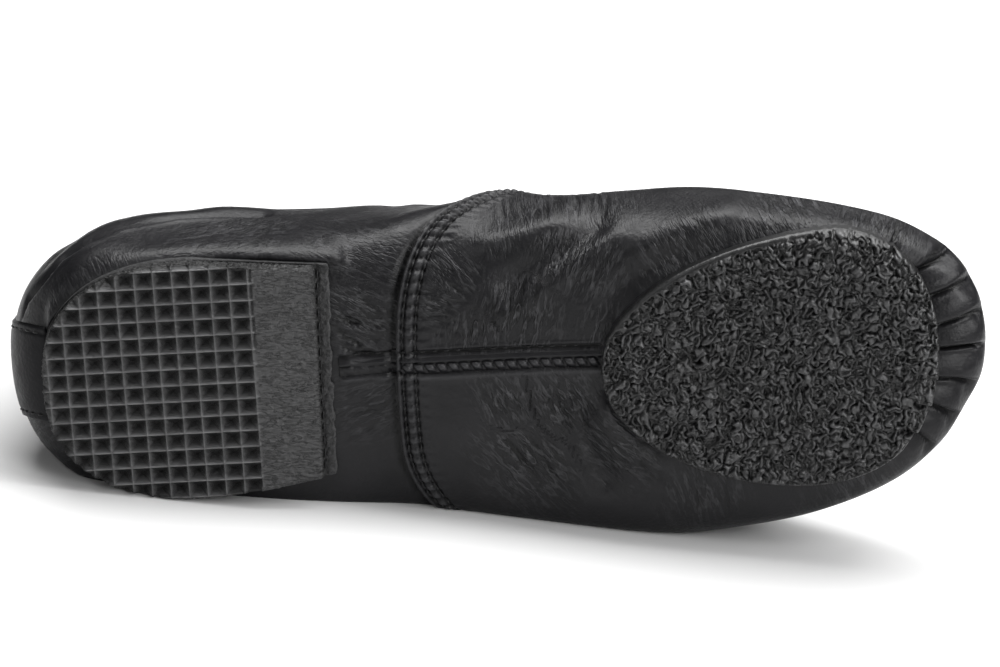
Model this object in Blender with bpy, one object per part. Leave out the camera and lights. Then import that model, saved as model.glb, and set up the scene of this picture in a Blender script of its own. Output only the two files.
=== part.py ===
"""Split-sole dance boot for a left foot, slack and empty, lying on its outer side.

The pieces are drawn in the boot's own frame, in millimetres: x runs from the back of the heel to the
toe, y to the outer (lateral) side and z up from the tread. An empty then lays the boot on its side.
"""

import math
from collections import namedtuple

import bmesh
import bpy
import numpy as np

# Driving sizes, in millimetres
LENGTH = 255.0
BALL_WIDTH = 93.0
INSTEP_HEIGHT = 64.0
COLLAR_HEIGHT = 101.0
HEEL_SEAT = 6.1
WALL = 1.8
FIT_GAP = 0.3

# Leather laid over leather: the vamp laps the rear of the upper, the collar has a turned hem. Rows
# count along the section table below.
VAMP_STEP = 1.2
VAMP_LAP_ROWS = 0.4
HEM_STEP = 0.8
HEM_ROW = 17.55
STEP_RUN_ROWS = 0.02

# Soles
FOREFOOT_SKIN = 3.3
FOREFOOT_HOLE_INSET = 10.0
HEEL_BASE_THICKNESS = 1.0
HEEL_BASE_MARGIN = 0.4
HEEL_HOLE_INSET = 9.0
RAMP_START = 65.6
RAMP_FRONT = 81.5
RAMP_FRONT_HEIGHT = 3.7
STRIP_FRONT = 86.3
TREAD_PITCH_X = 4.82
TREAD_PITCH_Y = 4.48
TREAD_RIDGE = 0.7
TREAD_DEPTH = 1.8
TREAD_TURN = math.radians(-1.3)
PIT_OVERSHOOT = 0.3
CUT_REACH = 10.0
CUT_HALF_WIDTH = 60.0

# Heights that flat outlines are drawn to before the form of the last trims them
HOLE_BOTTOM = -5.0
FOREFOOT_HOLE_TOP = 12.0
HEEL_HOLE_TOP = 16.0
FOREFOOT_TOP = 15.0
HEEL_TOP = 22.0
CENTRE_SEAM_TOP = 30.0
INSOLE_TOP = 18.0

# Smaller leather pieces and the sock
CENTRE_SEAM_WIDTH = 5.6
CENTRE_SEAM_THICKNESS = 0.8
CENTRE_SEAM_BACK = (87.0, -0.6)
CENTRE_SEAM_FRONT = (153.6, -3.2)
STAY_WIDTH = 25.0
STAY_THICKNESS = 0.9
STAY_CENTRE = 1.5
STAY_BOTTOM = 2.0
STAY_TOP = 90.0
STAY_TOE = 9.0
STAY_TOE_HEIGHT = 13.0
STAY_TOE_TAPER = 5.0
STAY_LEVELS = 6
STAY_BEHIND = -20.0
STAY_INSIDE = 40.0
INSOLE_THICKNESS = 2.0

# The floor meets the lateral side along a line that rises from heel to ball at this slope
FLOOR_SLOPE = 0.1415
FLOOR_BLEND = 2.5

# The slack shaft slumps sideways to the floor above this height
SLUMP = 12.0
SLUMP_FROM = 28.0

RINGS_PER_ROW = 2
POINTS_AROUND = 36
TOE_RING_ROW = 0.22
SHARP_ANGLE = math.radians(35.0)

# One row for each section from toe tip to collar. A section is a slanted ring between a bottom point
# and a top point of the side profile. Lengths along the foot are shares of LENGTH, half widths are
# shares of BALL_WIDTH, top heights are shares of INSTEP_HEIGHT, bottom heights are millimetres. belly
# moves the widest place up (+) or down (-), low_n and top_n are how square the two halves are.
Section = namedtuple(
    "Section", "name bottom_x bottom_z top_x top_z medial lateral belly low_n top_n"
)
SECTIONS = [
    Section("toe_tip", 0.995, 13.5, 0.995, 0.210, 0.000, 0.000, 0.00, 2.2, 2.2),
    Section("toe_front", 0.991, 9.0, 0.989, 0.300, 0.100, 0.095, 0.00, 2.3, 2.2),
    Section("toe_curve", 0.976, 6.3, 0.973, 0.370, 0.190, 0.178, 0.00, 2.8, 2.2),
    Section("toe", 0.950, 4.8, 0.948, 0.425, 0.274, 0.285, -0.05, 4.0, 2.2),
    Section("toe_box", 0.900, 4.1, 0.900, 0.495, 0.350, 0.390, -0.10, 6.0, 2.2),
    Section("tread_front", 0.825, 4.0, 0.820, 0.590, 0.394, 0.475, -0.15, 6.5, 2.1),
    Section("ball", 0.730, 4.0, 0.714, 0.735, 0.418, 0.540, -0.15, 4.6, 2.1),
    Section("ball_back", 0.640, 4.2, 0.640, 0.880, 0.402, 0.580, -0.20, 3.4, 2.1),
    Section("waist", 0.520, 6.6, 0.612, 0.945, 0.386, 0.580, -0.20, 2.9, 2.1),
    Section("vamp_seam", 0.400, 7.6, 0.588, 1.000, 0.394, 0.560, -0.15, 2.7, 2.0),
    Section("arch", 0.312, 6.8, 0.560, 1.080, 0.366, 0.520, -0.20, 4.2, 1.9),
    Section("heel_front", 0.215, HEEL_SEAT, 0.530, 1.175, 0.358, 0.450, -0.30, 7.0, 1.8),
    Section("heel_seat", 0.115, HEEL_SEAT, 0.505, 1.260, 0.374, 0.410, -0.34, 6.0, 1.85),
    Section("heel_corner", 0.040, 8.4, 0.485, 1.335, 0.384, 0.402, -0.34, 2.8, 2.0),
    Section("heel_back", 0.006, 19.0, 0.470, 1.395, 0.345, 0.375, -0.32, 2.25, 2.1),
    Section("heel_bulge", 0.009, 35.0, 0.460, 1.440, 0.300, 0.340, -0.28, 2.2, 2.2),
    Section("ankle", 0.028, 55.0, 0.452, 1.480, 0.260, 0.310, -0.20, 2.3, 2.2),
    Section("shaft", 0.045, 78.0, 0.447, 1.515, 0.238, 0.290, -0.05, 2.2, 2.2),
    Section("collar", 0.058, COLLAR_HEIGHT, 0.446, 1.560, 0.226, 0.275, 0.00, 2.2, 2.2),
]
VAMP_ROW = [row.name for row in SECTIONS].index("vamp_seam")
LAP_ROW = VAMP_ROW - VAMP_LAP_ROWS

# Half of an egg or of a heel outline: half width, blunt exponent, and how far its width grows forward
Side = namedtuple("Side", "half_width blunt swell")
FOREFOOT_BACK = 154.5
FOREFOOT_FRONT = 241.6
FOREFOOT_SIDES = (Side(-33.9, 2.3, 0.27), Side(33.2, 2.15, 0.18))
HEEL_BACK = 10.4
HEEL_WIDEST = 50.0
HEEL_HALF_WIDTH = 32.4
HEEL_BLUNT = 2.37
HEEL_TAPER = 0.105

# Insole half widths at shares of its length, heel to toe
InsoleRow = namedtuple("InsoleRow", "along medial lateral")
INSOLE_BACK = 12.0
INSOLE_FRONT = 243.0
INSOLE_ROWS = [
    InsoleRow(0.00, 0.0, 0.0),
    InsoleRow(0.03, 13.0, 13.0),
    InsoleRow(0.12, 24.0, 23.0),
    InsoleRow(0.28, 24.0, 23.0),
    InsoleRow(0.50, 23.0, 26.0),
    InsoleRow(0.72, 31.0, 35.0),
    InsoleRow(0.88, 28.0, 31.0),
    InsoleRow(0.97, 16.0, 17.0),
    InsoleRow(1.00, 0.0, 0.0),
]

MM = 0.001


def clear_scene():
    for item in list(bpy.data.objects):
        bpy.data.objects.remove(item)


def new_collection(name):
    found = bpy.data.collections.new(name)
    bpy.context.scene.collection.children.link(found)
    return found


def material(name, colour, roughness):
    made = bpy.data.materials.new(name)
    made.use_nodes = True
    shader = made.node_tree.nodes["Principled BSDF"]
    shader.inputs["Base Color"].default_value = (*colour, 1.0)
    shader.inputs["Roughness"].default_value = roughness
    shader.inputs["Metallic"].default_value = 0.0
    return made


def catmull_rom(rows, at):
    """Rows of a table read at fractional row numbers, on a smooth curve through every row."""
    last = len(rows) - 1
    first = np.clip(np.floor(at).astype(int), 0, last - 1)
    t = (at - first)[:, None]
    before = rows[np.maximum(first - 1, 0)]
    after = rows[np.minimum(first + 2, last)]
    p1, p2 = rows[first], rows[first + 1]
    curve = 2 * p1 + (p2 - before) * t
    curve += (2 * before - 5 * p1 + 4 * p2 - after) * t**2
    curve += (3 * p1 - before - 3 * p2 + after) * t**3
    return curve / 2


def section_sizes():
    """The section table in millimetres, led by a mirrored row that rounds the toe tip off."""
    sizes = [
        (
            row.bottom_x * LENGTH,
            row.bottom_z,
            row.top_x * LENGTH,
            row.top_z * INSTEP_HEIGHT,
            row.medial * BALL_WIDTH,
            row.lateral * BALL_WIDTH,
            row.belly,
            row.low_n,
            row.top_n,
        )
        for row in SECTIONS
    ]
    tip, front = np.array(sizes[0]), np.array(sizes[1])
    mirrored = front.copy()
    mirrored[1], mirrored[3] = front[3], front[1]
    mirrored[4:6] = -front[4:6]
    mirrored[6:] = tip[6:]
    return np.vstack([mirrored, sizes])


def smooth_step(t):
    t = np.clip(t, 0.0, 1.0)
    return t * t * (3.0 - 2.0 * t)


def slump(z):
    """How far the slack shaft has moved to the lateral side at a height."""
    return SLUMP * smooth_step((z - SLUMP_FROM) / (COLLAR_HEIGHT - SLUMP_FROM))


def floor_line(x):
    """The floor's place on the lateral side, through the lowest spot of the heel's edge."""
    edge = heel_outline(STRIP_FRONT, HEEL_BASE_MARGIN)
    return max(side - FLOOR_SLOPE * along for along, side in edge) + FLOOR_SLOPE * x


def rest_on_floor(points):
    """Flattens whatever would reach past the floor, with a short round run into the flat."""
    floor = floor_line(points[..., 0])
    past = points[..., 1] - floor
    blended = -((past - FLOOR_BLEND) ** 2) / (4.0 * FLOOR_BLEND)
    past = np.where(past > FLOOR_BLEND, 0.0, np.where(past > -FLOOR_BLEND, blended, past))
    resting = points.copy()
    resting[..., 1] = floor + past
    return resting


def last_points(at, around):
    """Points of the upper's outer face, a ring for each row number and a point for each angle."""
    size = catmull_rom(section_sizes(), np.asarray(at) + 1.0)
    bottom_x, bottom_z, top_x, top_z, medial, lateral, belly, low_n, top_n = size.T[:, :, None]
    turn = np.asarray(around)[None, :]
    power = low_n + (top_n - low_n) * (1.0 - np.cos(turn)) / 2.0
    reach = (np.abs(np.cos(turn)) ** power + np.abs(np.sin(turn)) ** power) ** (-1.0 / power)
    across = reach * np.sin(turn)
    rise = -reach * np.cos(turn)
    rise = rise + belly * (1.0 - rise**2)
    x = (bottom_x + top_x) / 2.0 + (top_x - bottom_x) / 2.0 * rise
    z = (bottom_z + top_z) / 2.0 + (top_z - bottom_z) / 2.0 * rise
    y = across * np.where(across > 0.0, lateral, medial) + slump(z)
    return np.stack([x, y, z], axis=-1)


def ring_rows():
    """Row numbers of the modelled rings: even steps, closer at the toe, doubled at each wall step."""
    last = len(SECTIONS) - 1
    even = np.linspace(0.0, last, last * RINGS_PER_ROW + 1)[1:]
    places = (LAP_ROW, VAMP_ROW, HEM_ROW)
    steps = [at + side for at in places for side in (-STEP_RUN_ROWS, STEP_RUN_ROWS)]
    even = even[np.abs(even - VAMP_ROW) > STEP_RUN_ROWS]
    return np.sort(np.concatenate([[TOE_RING_ROW], even, steps]))


def outer_steps(at):
    """Extra leather on the outside at each ring: the vamp in front, the hem at the collar."""
    return np.where(at < VAMP_ROW, VAMP_STEP, 0.0) + np.where(at > HEM_ROW, HEM_STEP, 0.0)


def inner_steps(at):
    """The inside follows the vamp out, up to where the vamp laps the rear of the upper."""
    return np.where(at < LAP_ROW, VAMP_STEP, 0.0)


def ring_normals(points):
    along = np.gradient(points, axis=0)
    around = np.roll(points, -1, axis=1) - np.roll(points, 1, axis=1)
    normal = np.cross(along, around)
    return normal / np.linalg.norm(normal, axis=-1, keepdims=True)


def skin(offset, steps):
    """Ring points at a distance outside the upper's stepped face (inside if negative), and the toe pole."""
    at = ring_rows()
    around = np.linspace(0.0, 2.0 * math.pi, POINTS_AROUND, endpoint=False)
    plain = last_points(at, around)
    normals = ring_normals(rest_on_floor(plain))
    stepped = plain + ring_normals(plain) * steps(at)[:, None, None]
    points = rest_on_floor(stepped) + normals * offset
    tip = SECTIONS[0]
    pole = (tip.bottom_x * LENGTH + VAMP_STEP + offset, 0.0, tip.bottom_z)
    return points, pole


def grid_faces(mesh, rings, pole):
    """Adds a skin to a bmesh, from the toe pole to its last ring, and returns that ring."""
    made = [[mesh.verts.new(point * MM) for point in ring] for ring in rings]
    tip = mesh.verts.new([value * MM for value in pole])
    count = len(made[0])
    for j in range(count):
        mesh.faces.new((tip, made[0][j], made[0][(j + 1) % count]))
    for front, back in zip(made, made[1:]):
        for j in range(count):
            k = (j + 1) % count
            mesh.faces.new((front[j], back[j], back[k], front[k]))
    return made[-1]


def finish_mesh(mesh, name):
    """Turns the faces outward and makes an object of the bmesh."""
    bmesh.ops.recalc_face_normals(mesh, faces=mesh.faces)
    data = bpy.data.meshes.new(name)
    mesh.to_mesh(data)
    mesh.free()
    return bpy.data.objects.new(name, data)


def closed_form(name, offset, steps=outer_steps):
    """The upper's own shape as a filled form, larger or smaller by an offset, for cutting."""
    mesh = bmesh.new()
    collar = grid_faces(mesh, *skin(offset, steps))
    mesh.faces.new(collar)
    return finish_mesh(mesh, name)


def upper_shell(name):
    """Outer and inner skin, joined by the collar's edge."""
    mesh = bmesh.new()
    outer = grid_faces(mesh, *skin(0.0, outer_steps))
    inner = grid_faces(mesh, *skin(-WALL, inner_steps))
    count = len(outer)
    for j in range(count):
        k = (j + 1) % count
        mesh.faces.new((outer[j], outer[k], inner[k], inner[j]))
    return finish_mesh(mesh, name)


def prism(name, outline, low, high):
    """A flat outline drawn upward between two heights."""
    mesh = bmesh.new()
    face = mesh.faces.new([mesh.verts.new((x * MM, y * MM, low * MM)) for x, y in outline])
    drawn = bmesh.ops.extrude_face_region(mesh, geom=[face])["geom"]
    raised = [item for item in drawn if isinstance(item, bmesh.types.BMVert)]
    bmesh.ops.translate(mesh, verts=raised, vec=(0.0, 0.0, (high - low) * MM))
    return finish_mesh(mesh, name)


def loft_box(name, levels):
    """A box whose rectangle changes with height: rows of z, then x from and to, then y from and to."""
    mesh = bmesh.new()
    rings = [
        [mesh.verts.new((x * MM, y * MM, z * MM)) for x, y in ((a, c), (b, c), (b, d), (a, d))]
        for z, a, b, c, d in levels
    ]
    mesh.faces.new(rings[0])
    mesh.faces.new(rings[-1])
    for low, high in zip(rings, rings[1:]):
        for j in range(4):
            k = (j + 1) % 4
            mesh.faces.new((low[j], low[k], high[k], high[j]))
    return finish_mesh(mesh, name)


def forefoot_outline(inset, steps=22):
    """The egg of the forefoot pad, run from its back point round both sides."""
    middle = (FOREFOOT_BACK + FOREFOOT_FRONT) / 2.0
    half = (FOREFOOT_FRONT - FOREFOOT_BACK) / 2.0
    outline = []
    for i, side in enumerate(FOREFOOT_SIDES):
        share = 1.0 - inset / abs(side.half_width)
        turns = np.linspace(math.pi * i, math.pi * (i + 1), steps, endpoint=False)
        along = -np.cos(turns)
        width = (1.0 - np.abs(along) ** side.blunt) ** (1.0 / side.blunt) * (1.0 + side.swell * along)
        x = middle + (half - inset) * along
        outline += list(zip(x, side.half_width * share * width))
    return outline


def heel_outline(front, margin, steps=10):
    """A round heel back that runs into two straight sides, tapered to a straight front."""
    turns = np.linspace(-math.pi / 2.0, math.pi / 2.0, 2 * steps + 1)
    reach = HEEL_WIDEST - HEEL_BACK + margin
    half = HEEL_HALF_WIDTH + margin
    power = 2.0 / HEEL_BLUNT
    x = HEEL_WIDEST - reach * np.cos(turns) ** power
    y = half * np.sign(np.sin(turns)) * np.abs(np.sin(turns)) ** power
    front_half = half - HEEL_TAPER * (front - HEEL_WIDEST)
    return list(zip(x, y)) + [(front, front_half), (front, -front_half)]


def insole_outline(steps=28):
    rows = np.array([tuple(row) for row in INSOLE_ROWS])
    at = (1.0 - np.cos(np.linspace(0.0, math.pi, steps))) / 2.0 * (len(rows) - 1)
    along, medial, lateral = catmull_rom(rows, at).T
    x = INSOLE_BACK + (INSOLE_FRONT - INSOLE_BACK) * along
    return list(zip(x, lateral)) + list(zip(x[-2:0:-1], -medial[-2:0:-1]))


def waffle_pits(name):
    """Rows of inverted pyramids, turned a little against the boot's axis, as cut rubber sheet has them."""
    mesh = bmesh.new()
    columns = int((RAMP_START - HEEL_BACK) / TREAD_PITCH_X) + 1
    rows = int(HEEL_HALF_WIDTH / TREAD_PITCH_Y) + 1
    half_x = (TREAD_PITCH_X - TREAD_RIDGE) / 2.0
    half_y = (TREAD_PITCH_Y - TREAD_RIDGE) / 2.0
    grow = 1.0 + PIT_OVERSHOOT / TREAD_DEPTH
    for column in range(columns):
        for row in range(-rows, rows):
            x = RAMP_START - half_x - TREAD_RIDGE - column * TREAD_PITCH_X - HEEL_WIDEST
            y = (row + 0.5) * TREAD_PITCH_Y
            corners = [(-1, -1), (1, -1), (1, 1), (-1, 1)]
            base = [(x + a * half_x * grow, y + b * half_y * grow, -PIT_OVERSHOOT) for a, b in corners]
            ring = []
            for px, py, pz in base + [(x, y, TREAD_DEPTH)]:
                turned_x = px * math.cos(TREAD_TURN) - py * math.sin(TREAD_TURN) + HEEL_WIDEST
                turned_y = px * math.sin(TREAD_TURN) + py * math.cos(TREAD_TURN)
                ring.append(mesh.verts.new((turned_x * MM, turned_y * MM, pz * MM)))
            mesh.faces.new(ring[:4])
            for j in range(4):
                mesh.faces.new((ring[j], ring[(j + 1) % 4], ring[4]))
    return finish_mesh(mesh, name)


class Boot:
    """Collects pieces and cutters, and puts the boot on its side."""

    def __init__(self):
        self.pieces = new_collection("dance_boot")
        self.cutters = new_collection("cutters")
        self.pose = bpy.data.objects.new("lying_pose", None)
        self.pieces.objects.link(self.pose)
        self.pose.rotation_euler = (-math.pi / 2.0, -math.atan(FLOOR_SLOPE), 0.0)

    def piece(self, item, finish):
        self.pieces.objects.link(item)
        item.parent = self.pose
        item.data.materials.append(finish)
        item.data.shade_smooth()
        item.data.set_sharp_from_angle(angle=SHARP_ANGLE)
        return item

    def cutter(self, item):
        self.cutters.objects.link(item)
        item.parent = self.pose
        item.hide_render = True
        item.display_type = "WIRE"
        return item

    def cut(self, item, operation, tool):
        step = item.modifiers.new(operation.lower(), "BOOLEAN")
        step.operation = operation
        step.solver = "EXACT"
        step.object = tool

    def lay_down(self):
        """Moves the lying boot so that the middle of its underside is the origin."""
        bpy.context.view_layer.update()
        graph = bpy.context.evaluated_depsgraph_get()
        corners = []
        for item in self.pieces.objects:
            if item.type == "MESH":
                solid = item.evaluated_get(graph)
                corners += [solid.matrix_world @ vertex.co for vertex in solid.data.vertices]
        spots = np.array([tuple(corner) for corner in corners])
        low, high = spots.min(axis=0), spots.max(axis=0)
        self.pose.location = (-(low[0] + high[0]) / 2.0, -(low[1] + high[1]) / 2.0, -low[2])


def between(boot, item, outer, inner):
    """Keeps of an item only what lies inside one form and outside a smaller one."""
    boot.cut(item, "INTERSECT", outer)
    boot.cut(item, "DIFFERENCE", inner)


def make_upper(boot, leather):
    upper = boot.piece(upper_shell("upper"), leather)
    forefoot = forefoot_outline(FOREFOOT_HOLE_INSET)
    heel = heel_outline(RAMP_START, -HEEL_HOLE_INSET)
    forefoot_hole = prism("forefoot_hole", forefoot, HOLE_BOTTOM, FOREFOOT_HOLE_TOP)
    heel_hole = prism("heel_hole", heel, HOLE_BOTTOM, HEEL_HOLE_TOP)
    boot.cut(upper, "DIFFERENCE", boot.cutter(forefoot_hole))
    boot.cut(upper, "DIFFERENCE", boot.cutter(heel_hole))


def make_forefoot_sole(boot, touching, rubber):
    pad = boot.piece(prism("forefoot_sole", forefoot_outline(0.0), 0.0, FOREFOOT_TOP), rubber)
    outside = boot.cutter(closed_form("forefoot_outside", FOREFOOT_SKIN))
    between(boot, pad, outside, touching)


def make_heel_base(boot, touching, sheet):
    outline = heel_outline(STRIP_FRONT, HEEL_BASE_MARGIN)
    base = boot.piece(prism("heel_base", outline, 0.0, HEEL_TOP), sheet)
    outside = boot.cutter(closed_form("base_outside", FIT_GAP + HEEL_BASE_THICKNESS))
    between(boot, base, outside, touching)


def make_heel_lift(boot, rubber):
    lift = boot.piece(prism("heel_lift", heel_outline(RAMP_FRONT, 0.0), 0.0, HEEL_TOP), rubber)
    seat = boot.cutter(closed_form("lift_seat", 2.0 * FIT_GAP + HEEL_BASE_THICKNESS))
    boot.cut(lift, "DIFFERENCE", seat)
    slope = RAMP_FRONT_HEIGHT / (RAMP_FRONT - RAMP_START)
    ahead = 2.0 * RAMP_FRONT
    width = (-CUT_HALF_WIDTH, CUT_HALF_WIDTH)
    low = (-CUT_REACH * slope, RAMP_START - CUT_REACH, ahead, *width)
    high = (CUT_REACH, RAMP_START + CUT_REACH / slope, ahead, *width)
    boot.cut(lift, "DIFFERENCE", boot.cutter(loft_box("ramp_cut", [low, high])))
    boot.cut(lift, "DIFFERENCE", boot.cutter(waffle_pits("waffle_pits")))


def make_centre_seam(boot, touching, leather):
    half = CENTRE_SEAM_WIDTH / 2.0
    (back_x, back_y), (front_x, front_y) = CENTRE_SEAM_BACK, CENTRE_SEAM_FRONT
    corners = [(back_x, back_y - half), (front_x, front_y - half)]
    corners += [(front_x, front_y + half), (back_x, back_y + half)]
    seam = boot.piece(prism("centre_seam", corners, 0.0, CENTRE_SEAM_TOP), leather)
    outside = boot.cutter(closed_form("seam_outside", FIT_GAP + CENTRE_SEAM_THICKNESS))
    between(boot, seam, outside, touching)


def make_back_stay(boot, touching, leather):
    half = STAY_WIDTH / 2.0
    levels = [(STAY_BOTTOM, STAY_TOE), (STAY_TOE_HEIGHT, STAY_TOE)]
    levels += [(STAY_TOE_HEIGHT + STAY_TOE_TAPER, STAY_INSIDE)]
    levels += [(z, STAY_INSIDE) for z in np.linspace(SLUMP_FROM, STAY_TOP, STAY_LEVELS)]
    rows = []
    for z, front in levels:
        middle = STAY_CENTRE + slump(z)
        rows.append((z, STAY_BEHIND, front, middle - half, middle + half))
    stay = boot.piece(loft_box("back_stay", rows), leather)
    outside = boot.cutter(closed_form("stay_outside", FIT_GAP + STAY_THICKNESS))
    between(boot, stay, outside, touching)


def make_insole(boot, cloth):
    under = WALL + FIT_GAP
    sock = boot.piece(prism("insole", insole_outline(), 0.0, INSOLE_TOP), cloth)
    outside = boot.cutter(closed_form("insole_outside", -under, inner_steps))
    inside = boot.cutter(closed_form("insole_inside", -under - INSOLE_THICKNESS, inner_steps))
    between(boot, sock, outside, inside)


def main():
    clear_scene()
    boot = Boot()
    leather = material("black_leather", (0.012, 0.012, 0.014), 0.42)
    crepe = material("crepe_rubber", (0.016, 0.016, 0.017), 0.55)
    waffle = material("waffle_rubber", (0.030, 0.030, 0.031), 0.62)
    sheet = material("heel_sheet", (0.036, 0.036, 0.037), 0.70)
    sock_cloth = material("sock_cloth", (0.030, 0.029, 0.029), 0.85)
    touching = boot.cutter(closed_form("upper_clearance", FIT_GAP))
    make_upper(boot, leather)
    make_forefoot_sole(boot, touching, crepe)
    make_heel_base(boot, touching, sheet)
    make_heel_lift(boot, waffle)
    make_centre_seam(boot, touching, leather)
    make_back_stay(boot, touching, leather)
    make_insole(boot, sock_cloth)
    boot.lay_down()


main()
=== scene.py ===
"""Looks of a split-sole dance boot for a left foot, slack and empty, lying on its outer side.

Shapes are worked out in the boot's own frame, in millimetres, as in the part's source: x runs from the
back of the heel to the toe, y to the outer (lateral) side and z up from the tread. to_world() then lays
them down in the frame.
"""

import math
from collections import namedtuple

import bpy
import numpy as np
from mathutils import Matrix, Vector, kdtree
from mathutils.bvhtree import BVHTree


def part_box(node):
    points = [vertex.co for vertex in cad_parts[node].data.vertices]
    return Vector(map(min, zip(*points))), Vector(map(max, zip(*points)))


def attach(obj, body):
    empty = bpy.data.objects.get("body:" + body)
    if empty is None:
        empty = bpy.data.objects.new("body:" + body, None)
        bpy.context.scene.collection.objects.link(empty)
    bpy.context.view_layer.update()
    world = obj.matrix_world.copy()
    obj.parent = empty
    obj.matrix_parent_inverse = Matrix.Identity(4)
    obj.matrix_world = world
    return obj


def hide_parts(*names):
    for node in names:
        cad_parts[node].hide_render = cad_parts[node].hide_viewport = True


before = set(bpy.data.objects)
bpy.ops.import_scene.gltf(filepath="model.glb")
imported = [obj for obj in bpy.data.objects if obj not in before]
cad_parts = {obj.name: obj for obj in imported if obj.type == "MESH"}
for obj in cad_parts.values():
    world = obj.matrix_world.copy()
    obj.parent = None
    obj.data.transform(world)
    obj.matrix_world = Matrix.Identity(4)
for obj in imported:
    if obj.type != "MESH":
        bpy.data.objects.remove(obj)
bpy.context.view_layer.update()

# Driving sizes of the boot, as in the part's source, in millimetres
LENGTH = 255.0
BALL_WIDTH = 93.0
INSTEP_HEIGHT = 64.0
COLLAR_HEIGHT = 101.0
HEEL_SEAT = 6.1
WALL = 1.8
VAMP_STEP = 1.2
VAMP_LAP_ROWS = 0.4
HEM_STEP = 0.8
HEM_ROW = 17.55
FOREFOOT_SKIN = 3.3
HEEL_BASE_THICKNESS = 1.0
HEEL_BASE_MARGIN = 0.4
RAMP_START = 65.6
RAMP_FRONT = 81.5
RAMP_FRONT_HEIGHT = 3.7
STRIP_FRONT = 86.3
TREAD_PITCH_X = 4.82
TREAD_PITCH_Y = 4.48
TREAD_RIDGE = 0.7
TREAD_TURN = math.radians(-1.3)
CENTRE_SEAM_WIDTH = 6.2
CENTRE_SEAM_BACK = (86.6, -0.9)
CENTRE_SEAM_FRONT = (155.6, -3.35)
STAY_WIDTH = 26.4
STAY_THICKNESS = 0.9
STAY_CENTRE = 1.5
STAY_BOTTOM = 7.9
STAY_TOP = 90.0
STAY_LEAN = 4.2
STAY_LEAN_HEIGHT = 22.0
INSOLE_THICKNESS = 2.0
FLOOR_SLOPE = 0.1415
FLOOR_BLEND = 2.5
SLUMP = 12.0
SLUMP_FROM = 28.0

# Sections of the last from the toe to the collar. The x places are shares of LENGTH, top_z of INSTEP_HEIGHT
# and the half widths of BALL_WIDTH. belly moves the widest place up, or down below zero, and low_n and top_n
# are the powers of the round below and above.
Section = namedtuple("Section", "name bottom_x bottom_z top_x top_z medial lateral belly low_n top_n")
SECTIONS = [
    Section("toe_tip", 0.995, 13.5, 0.995, 0.210, 0.000, 0.000, 0.00, 2.2, 2.2),
    Section("toe_front", 0.991, 9.0, 0.989, 0.300, 0.100, 0.095, 0.00, 2.3, 2.2),
    Section("toe_curve", 0.976, 6.3, 0.973, 0.370, 0.190, 0.178, 0.00, 2.8, 2.2),
    Section("toe", 0.950, 4.8, 0.948, 0.425, 0.274, 0.285, -0.05, 4.0, 2.2),
    Section("toe_box", 0.900, 4.1, 0.900, 0.495, 0.350, 0.390, -0.10, 6.0, 2.2),
    Section("tread_front", 0.825, 4.0, 0.820, 0.590, 0.394, 0.475, -0.15, 6.5, 2.1),
    Section("ball", 0.730, 4.0, 0.714, 0.735, 0.418, 0.540, -0.15, 4.6, 2.1),
    Section("ball_back", 0.640, 4.2, 0.640, 0.880, 0.402, 0.580, -0.20, 3.4, 2.1),
    Section("waist", 0.520, 6.6, 0.612, 0.945, 0.386, 0.580, -0.20, 2.9, 2.1),
    Section("vamp_seam", 0.400, 7.6, 0.588, 1.000, 0.394, 0.560, -0.15, 2.7, 2.0),
    Section("arch", 0.312, 6.8, 0.560, 1.080, 0.366, 0.520, -0.20, 4.2, 1.9),
    Section("heel_front", 0.215, HEEL_SEAT, 0.530, 1.175, 0.358, 0.450, -0.30, 7.0, 1.8),
    Section("heel_seat", 0.115, HEEL_SEAT, 0.505, 1.260, 0.374, 0.410, -0.34, 6.0, 1.85),
    Section("heel_corner", 0.040, 8.4, 0.485, 1.335, 0.384, 0.402, -0.34, 2.8, 2.0),
    Section("heel_back", 0.006, 19.0, 0.470, 1.395, 0.345, 0.375, -0.32, 2.25, 2.1),
    Section("heel_bulge", 0.009, 35.0, 0.460, 1.440, 0.300, 0.340, -0.28, 2.2, 2.2),
    Section("ankle", 0.028, 55.0, 0.452, 1.480, 0.260, 0.310, -0.20, 2.3, 2.2),
    Section("shaft", 0.045, 78.0, 0.447, 1.515, 0.238, 0.290, -0.05, 2.2, 2.2),
    Section("collar", 0.058, COLLAR_HEIGHT, 0.446, 1.560, 0.226, 0.275, 0.00, 2.2, 2.2),
]
VAMP_ROW = [row.name for row in SECTIONS].index("vamp_seam")
LAP_ROW = VAMP_ROW - VAMP_LAP_ROWS
HEEL_ROW = [row.name for row in SECTIONS].index("heel_corner")
COLLAR_ROW = len(SECTIONS) - 1

# The forefoot pad's inner and outer side, the heel and the sock
Side = namedtuple("Side", "half_width blunt swell")
FOREFOOT_BACK = 154.5
FOREFOOT_FRONT = 241.6
FOREFOOT_SIDES = (Side(-33.9, 2.3, 0.27), Side(33.2, 2.15, 0.18))
HEEL_BACK = 10.4
HEEL_WIDEST = 50.0
HEEL_HALF_WIDTH = 32.4
HEEL_BLUNT = 2.37
HEEL_TAPER = 0.105

InsoleRow = namedtuple("InsoleRow", "along medial lateral")
INSOLE_BACK = 12.0
INSOLE_FRONT = 243.0
INSOLE_ROWS = [
    InsoleRow(0.00, 0.0, 0.0),
    InsoleRow(0.03, 13.0, 13.0),
    InsoleRow(0.12, 24.0, 23.0),
    InsoleRow(0.28, 24.0, 23.0),
    InsoleRow(0.50, 23.0, 26.0),
    InsoleRow(0.72, 31.0, 35.0),
    InsoleRow(0.88, 28.0, 31.0),
    InsoleRow(0.97, 16.0, 17.0),
    InsoleRow(1.00, 0.0, 0.0),
]

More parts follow.
